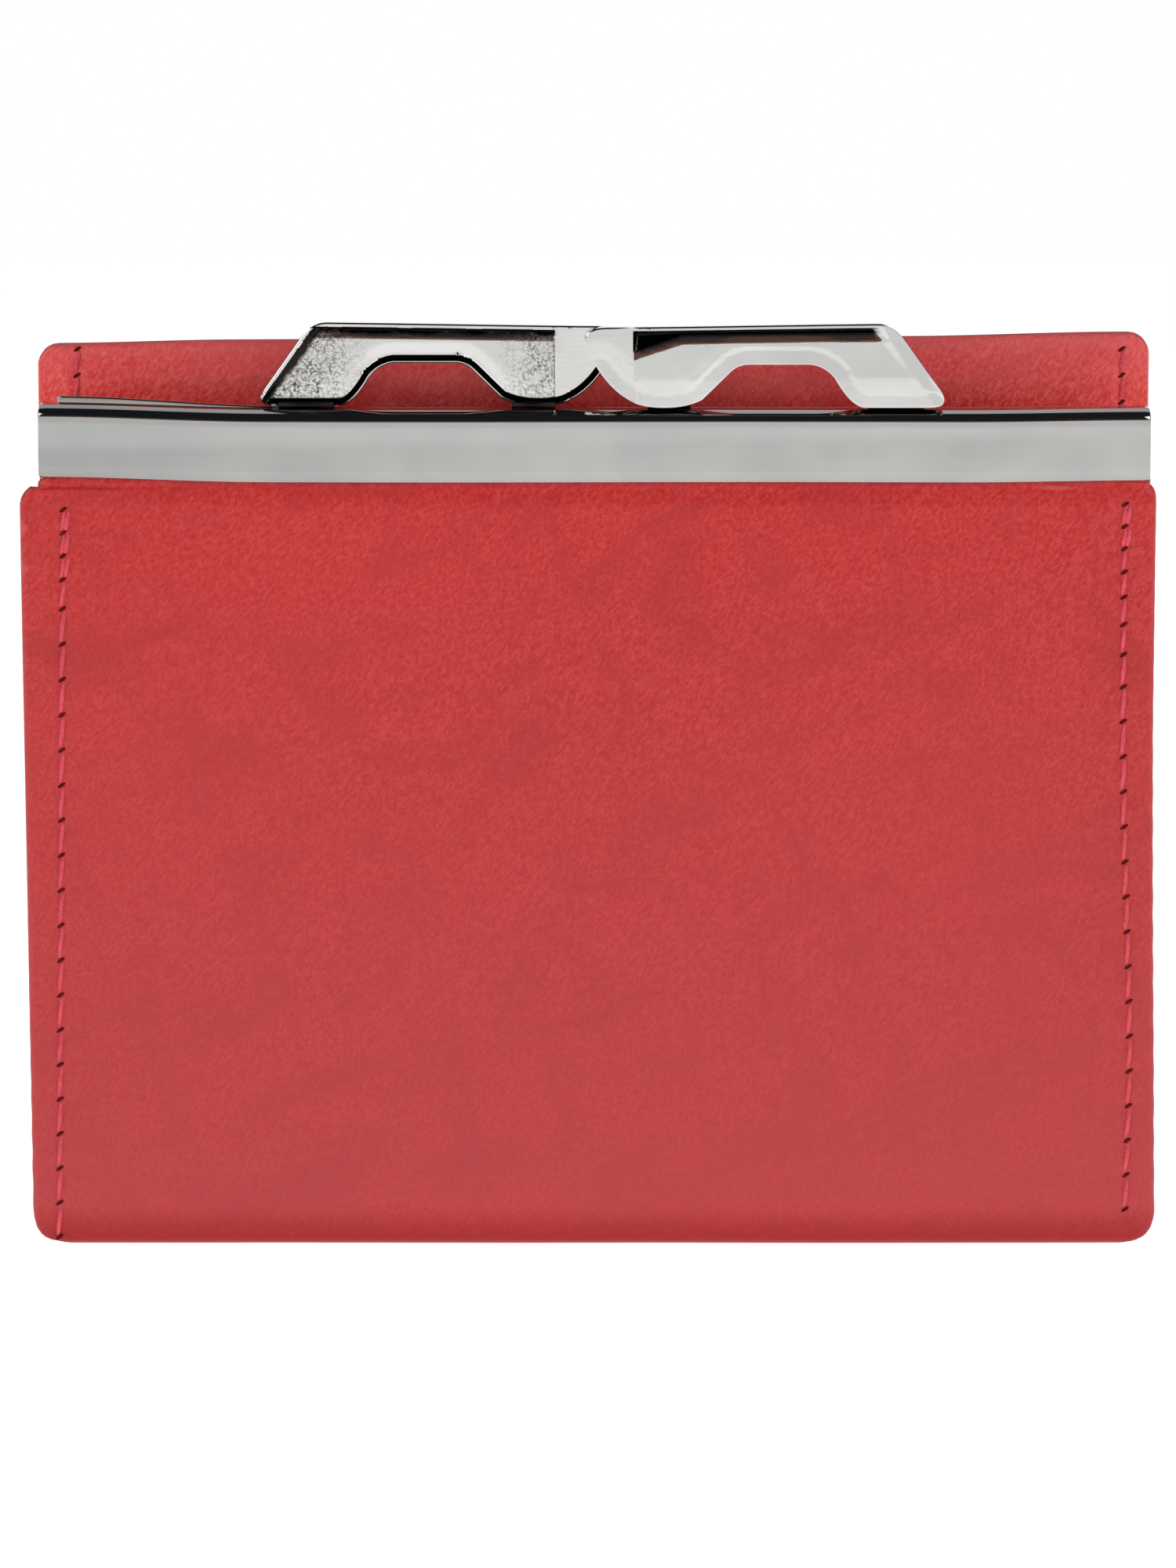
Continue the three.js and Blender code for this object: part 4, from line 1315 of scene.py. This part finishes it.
front_cover()
back_cover()
back_inner()
divider_wall()
lining(
    "front_lining_cloth",
    Vector((LINING_LOW.x, 0, 1.4)),
    Vector((LINING_HIGH.x, 0, 71.0)),
    lambda z: -6.08 - 0.50 * ease(z, 45.6, 47.4),
    ["front_lining_lower", "front_lining_fold", "front_lining_upper"],
)
BACK_LINING = span("coin_pocket_back_lining")
lining(
    "coin_back_lining_cloth",
    BACK_LINING[0],
    BACK_LINING[1],
    lambda z: -1.44 - 0.95 * ease(z, 70.0, 71.2),
    ["coin_pocket_back_lining"],
    BACK,
)
gussets()
half_frame("front_frame_metal", "front_frame", -1)
half_frame("rear_frame_metal", "rear_frame", 1)
clasp()
rivets()
keep_cad_with_materials()
seam_pieces()


# ---- studio ----
def studio():
    """A pale floor, and a surround that the polished metal mirrors: white low down, brown above that,
    nearly black overhead. Three softboxes light the leather."""
    bpy.context.scene.view_settings.view_transform = "Standard"
    mesh = bpy.data.meshes.new("studio_floor")
    rim = [(3 * math.cos(a), 3 * math.sin(a), -0.0002) for a in np.linspace(0, 2 * math.pi, 65)[:-1]]
    mesh.from_pydata(rim, [], [tuple(range(64))])
    n = Nodes("studio_floor")
    n.set(Base_Color=(0.6, 0.6, 0.6, 1), Roughness=0.9)
    n.set(Emission_Color=(1, 1, 1, 1), Emission_Strength=0.93)
    mesh.materials.append(n.material)
    floor = bpy.data.objects.new("studio_floor", mesh)
    bpy.context.scene.collection.objects.link(floor)

    world = bpy.data.worlds.new("studio")
    bpy.context.scene.world = world
    world.use_nodes = True
    tree = world.node_tree
    place = tree.nodes.new("ShaderNodeTexCoord")
    parts = tree.nodes.new("ShaderNodeSeparateXYZ")
    ramp = tree.nodes.new("ShaderNodeValToRGB")
    tree.links.new(place.outputs["Generated"], parts.inputs[0])
    tree.links.new(parts.outputs["Z"], ramp.inputs["Fac"])
    tree.links.new(ramp.outputs["Color"], tree.nodes["Background"].inputs["Color"])
    tree.nodes["Background"].inputs["Strength"].default_value = 1.0
    low_sky = [(0.19, (1.0, 1.0, 1.0)), (0.23, (0.26, 0.13, 0.09))]
    high_sky = [(0.40, (0.14, 0.08, 0.06)), (0.46, (0.02, 0.02, 0.025))]
    colour_stops(ramp, low_sky + high_sky)

    def softbox(name, azimuth, elevation, distance, size, watts):
        data = bpy.data.lights.new(name, "AREA")
        data.shape = "RECTANGLE"
        data.size, data.size_y = size
        data.energy = watts
        look_at(name, data, Vector((0, 0, 0.04)), azimuth, elevation, distance)

    softbox("left_softbox", -52, 34, 1.4, (0.9, 0.7), 5.6)
    softbox("right_softbox", 48, 38, 1.4, (0.9, 0.7), 6.0)
    softbox("back_softbox", 180, 42, 1.5, (1.8, 0.8), 2.6)


studio()
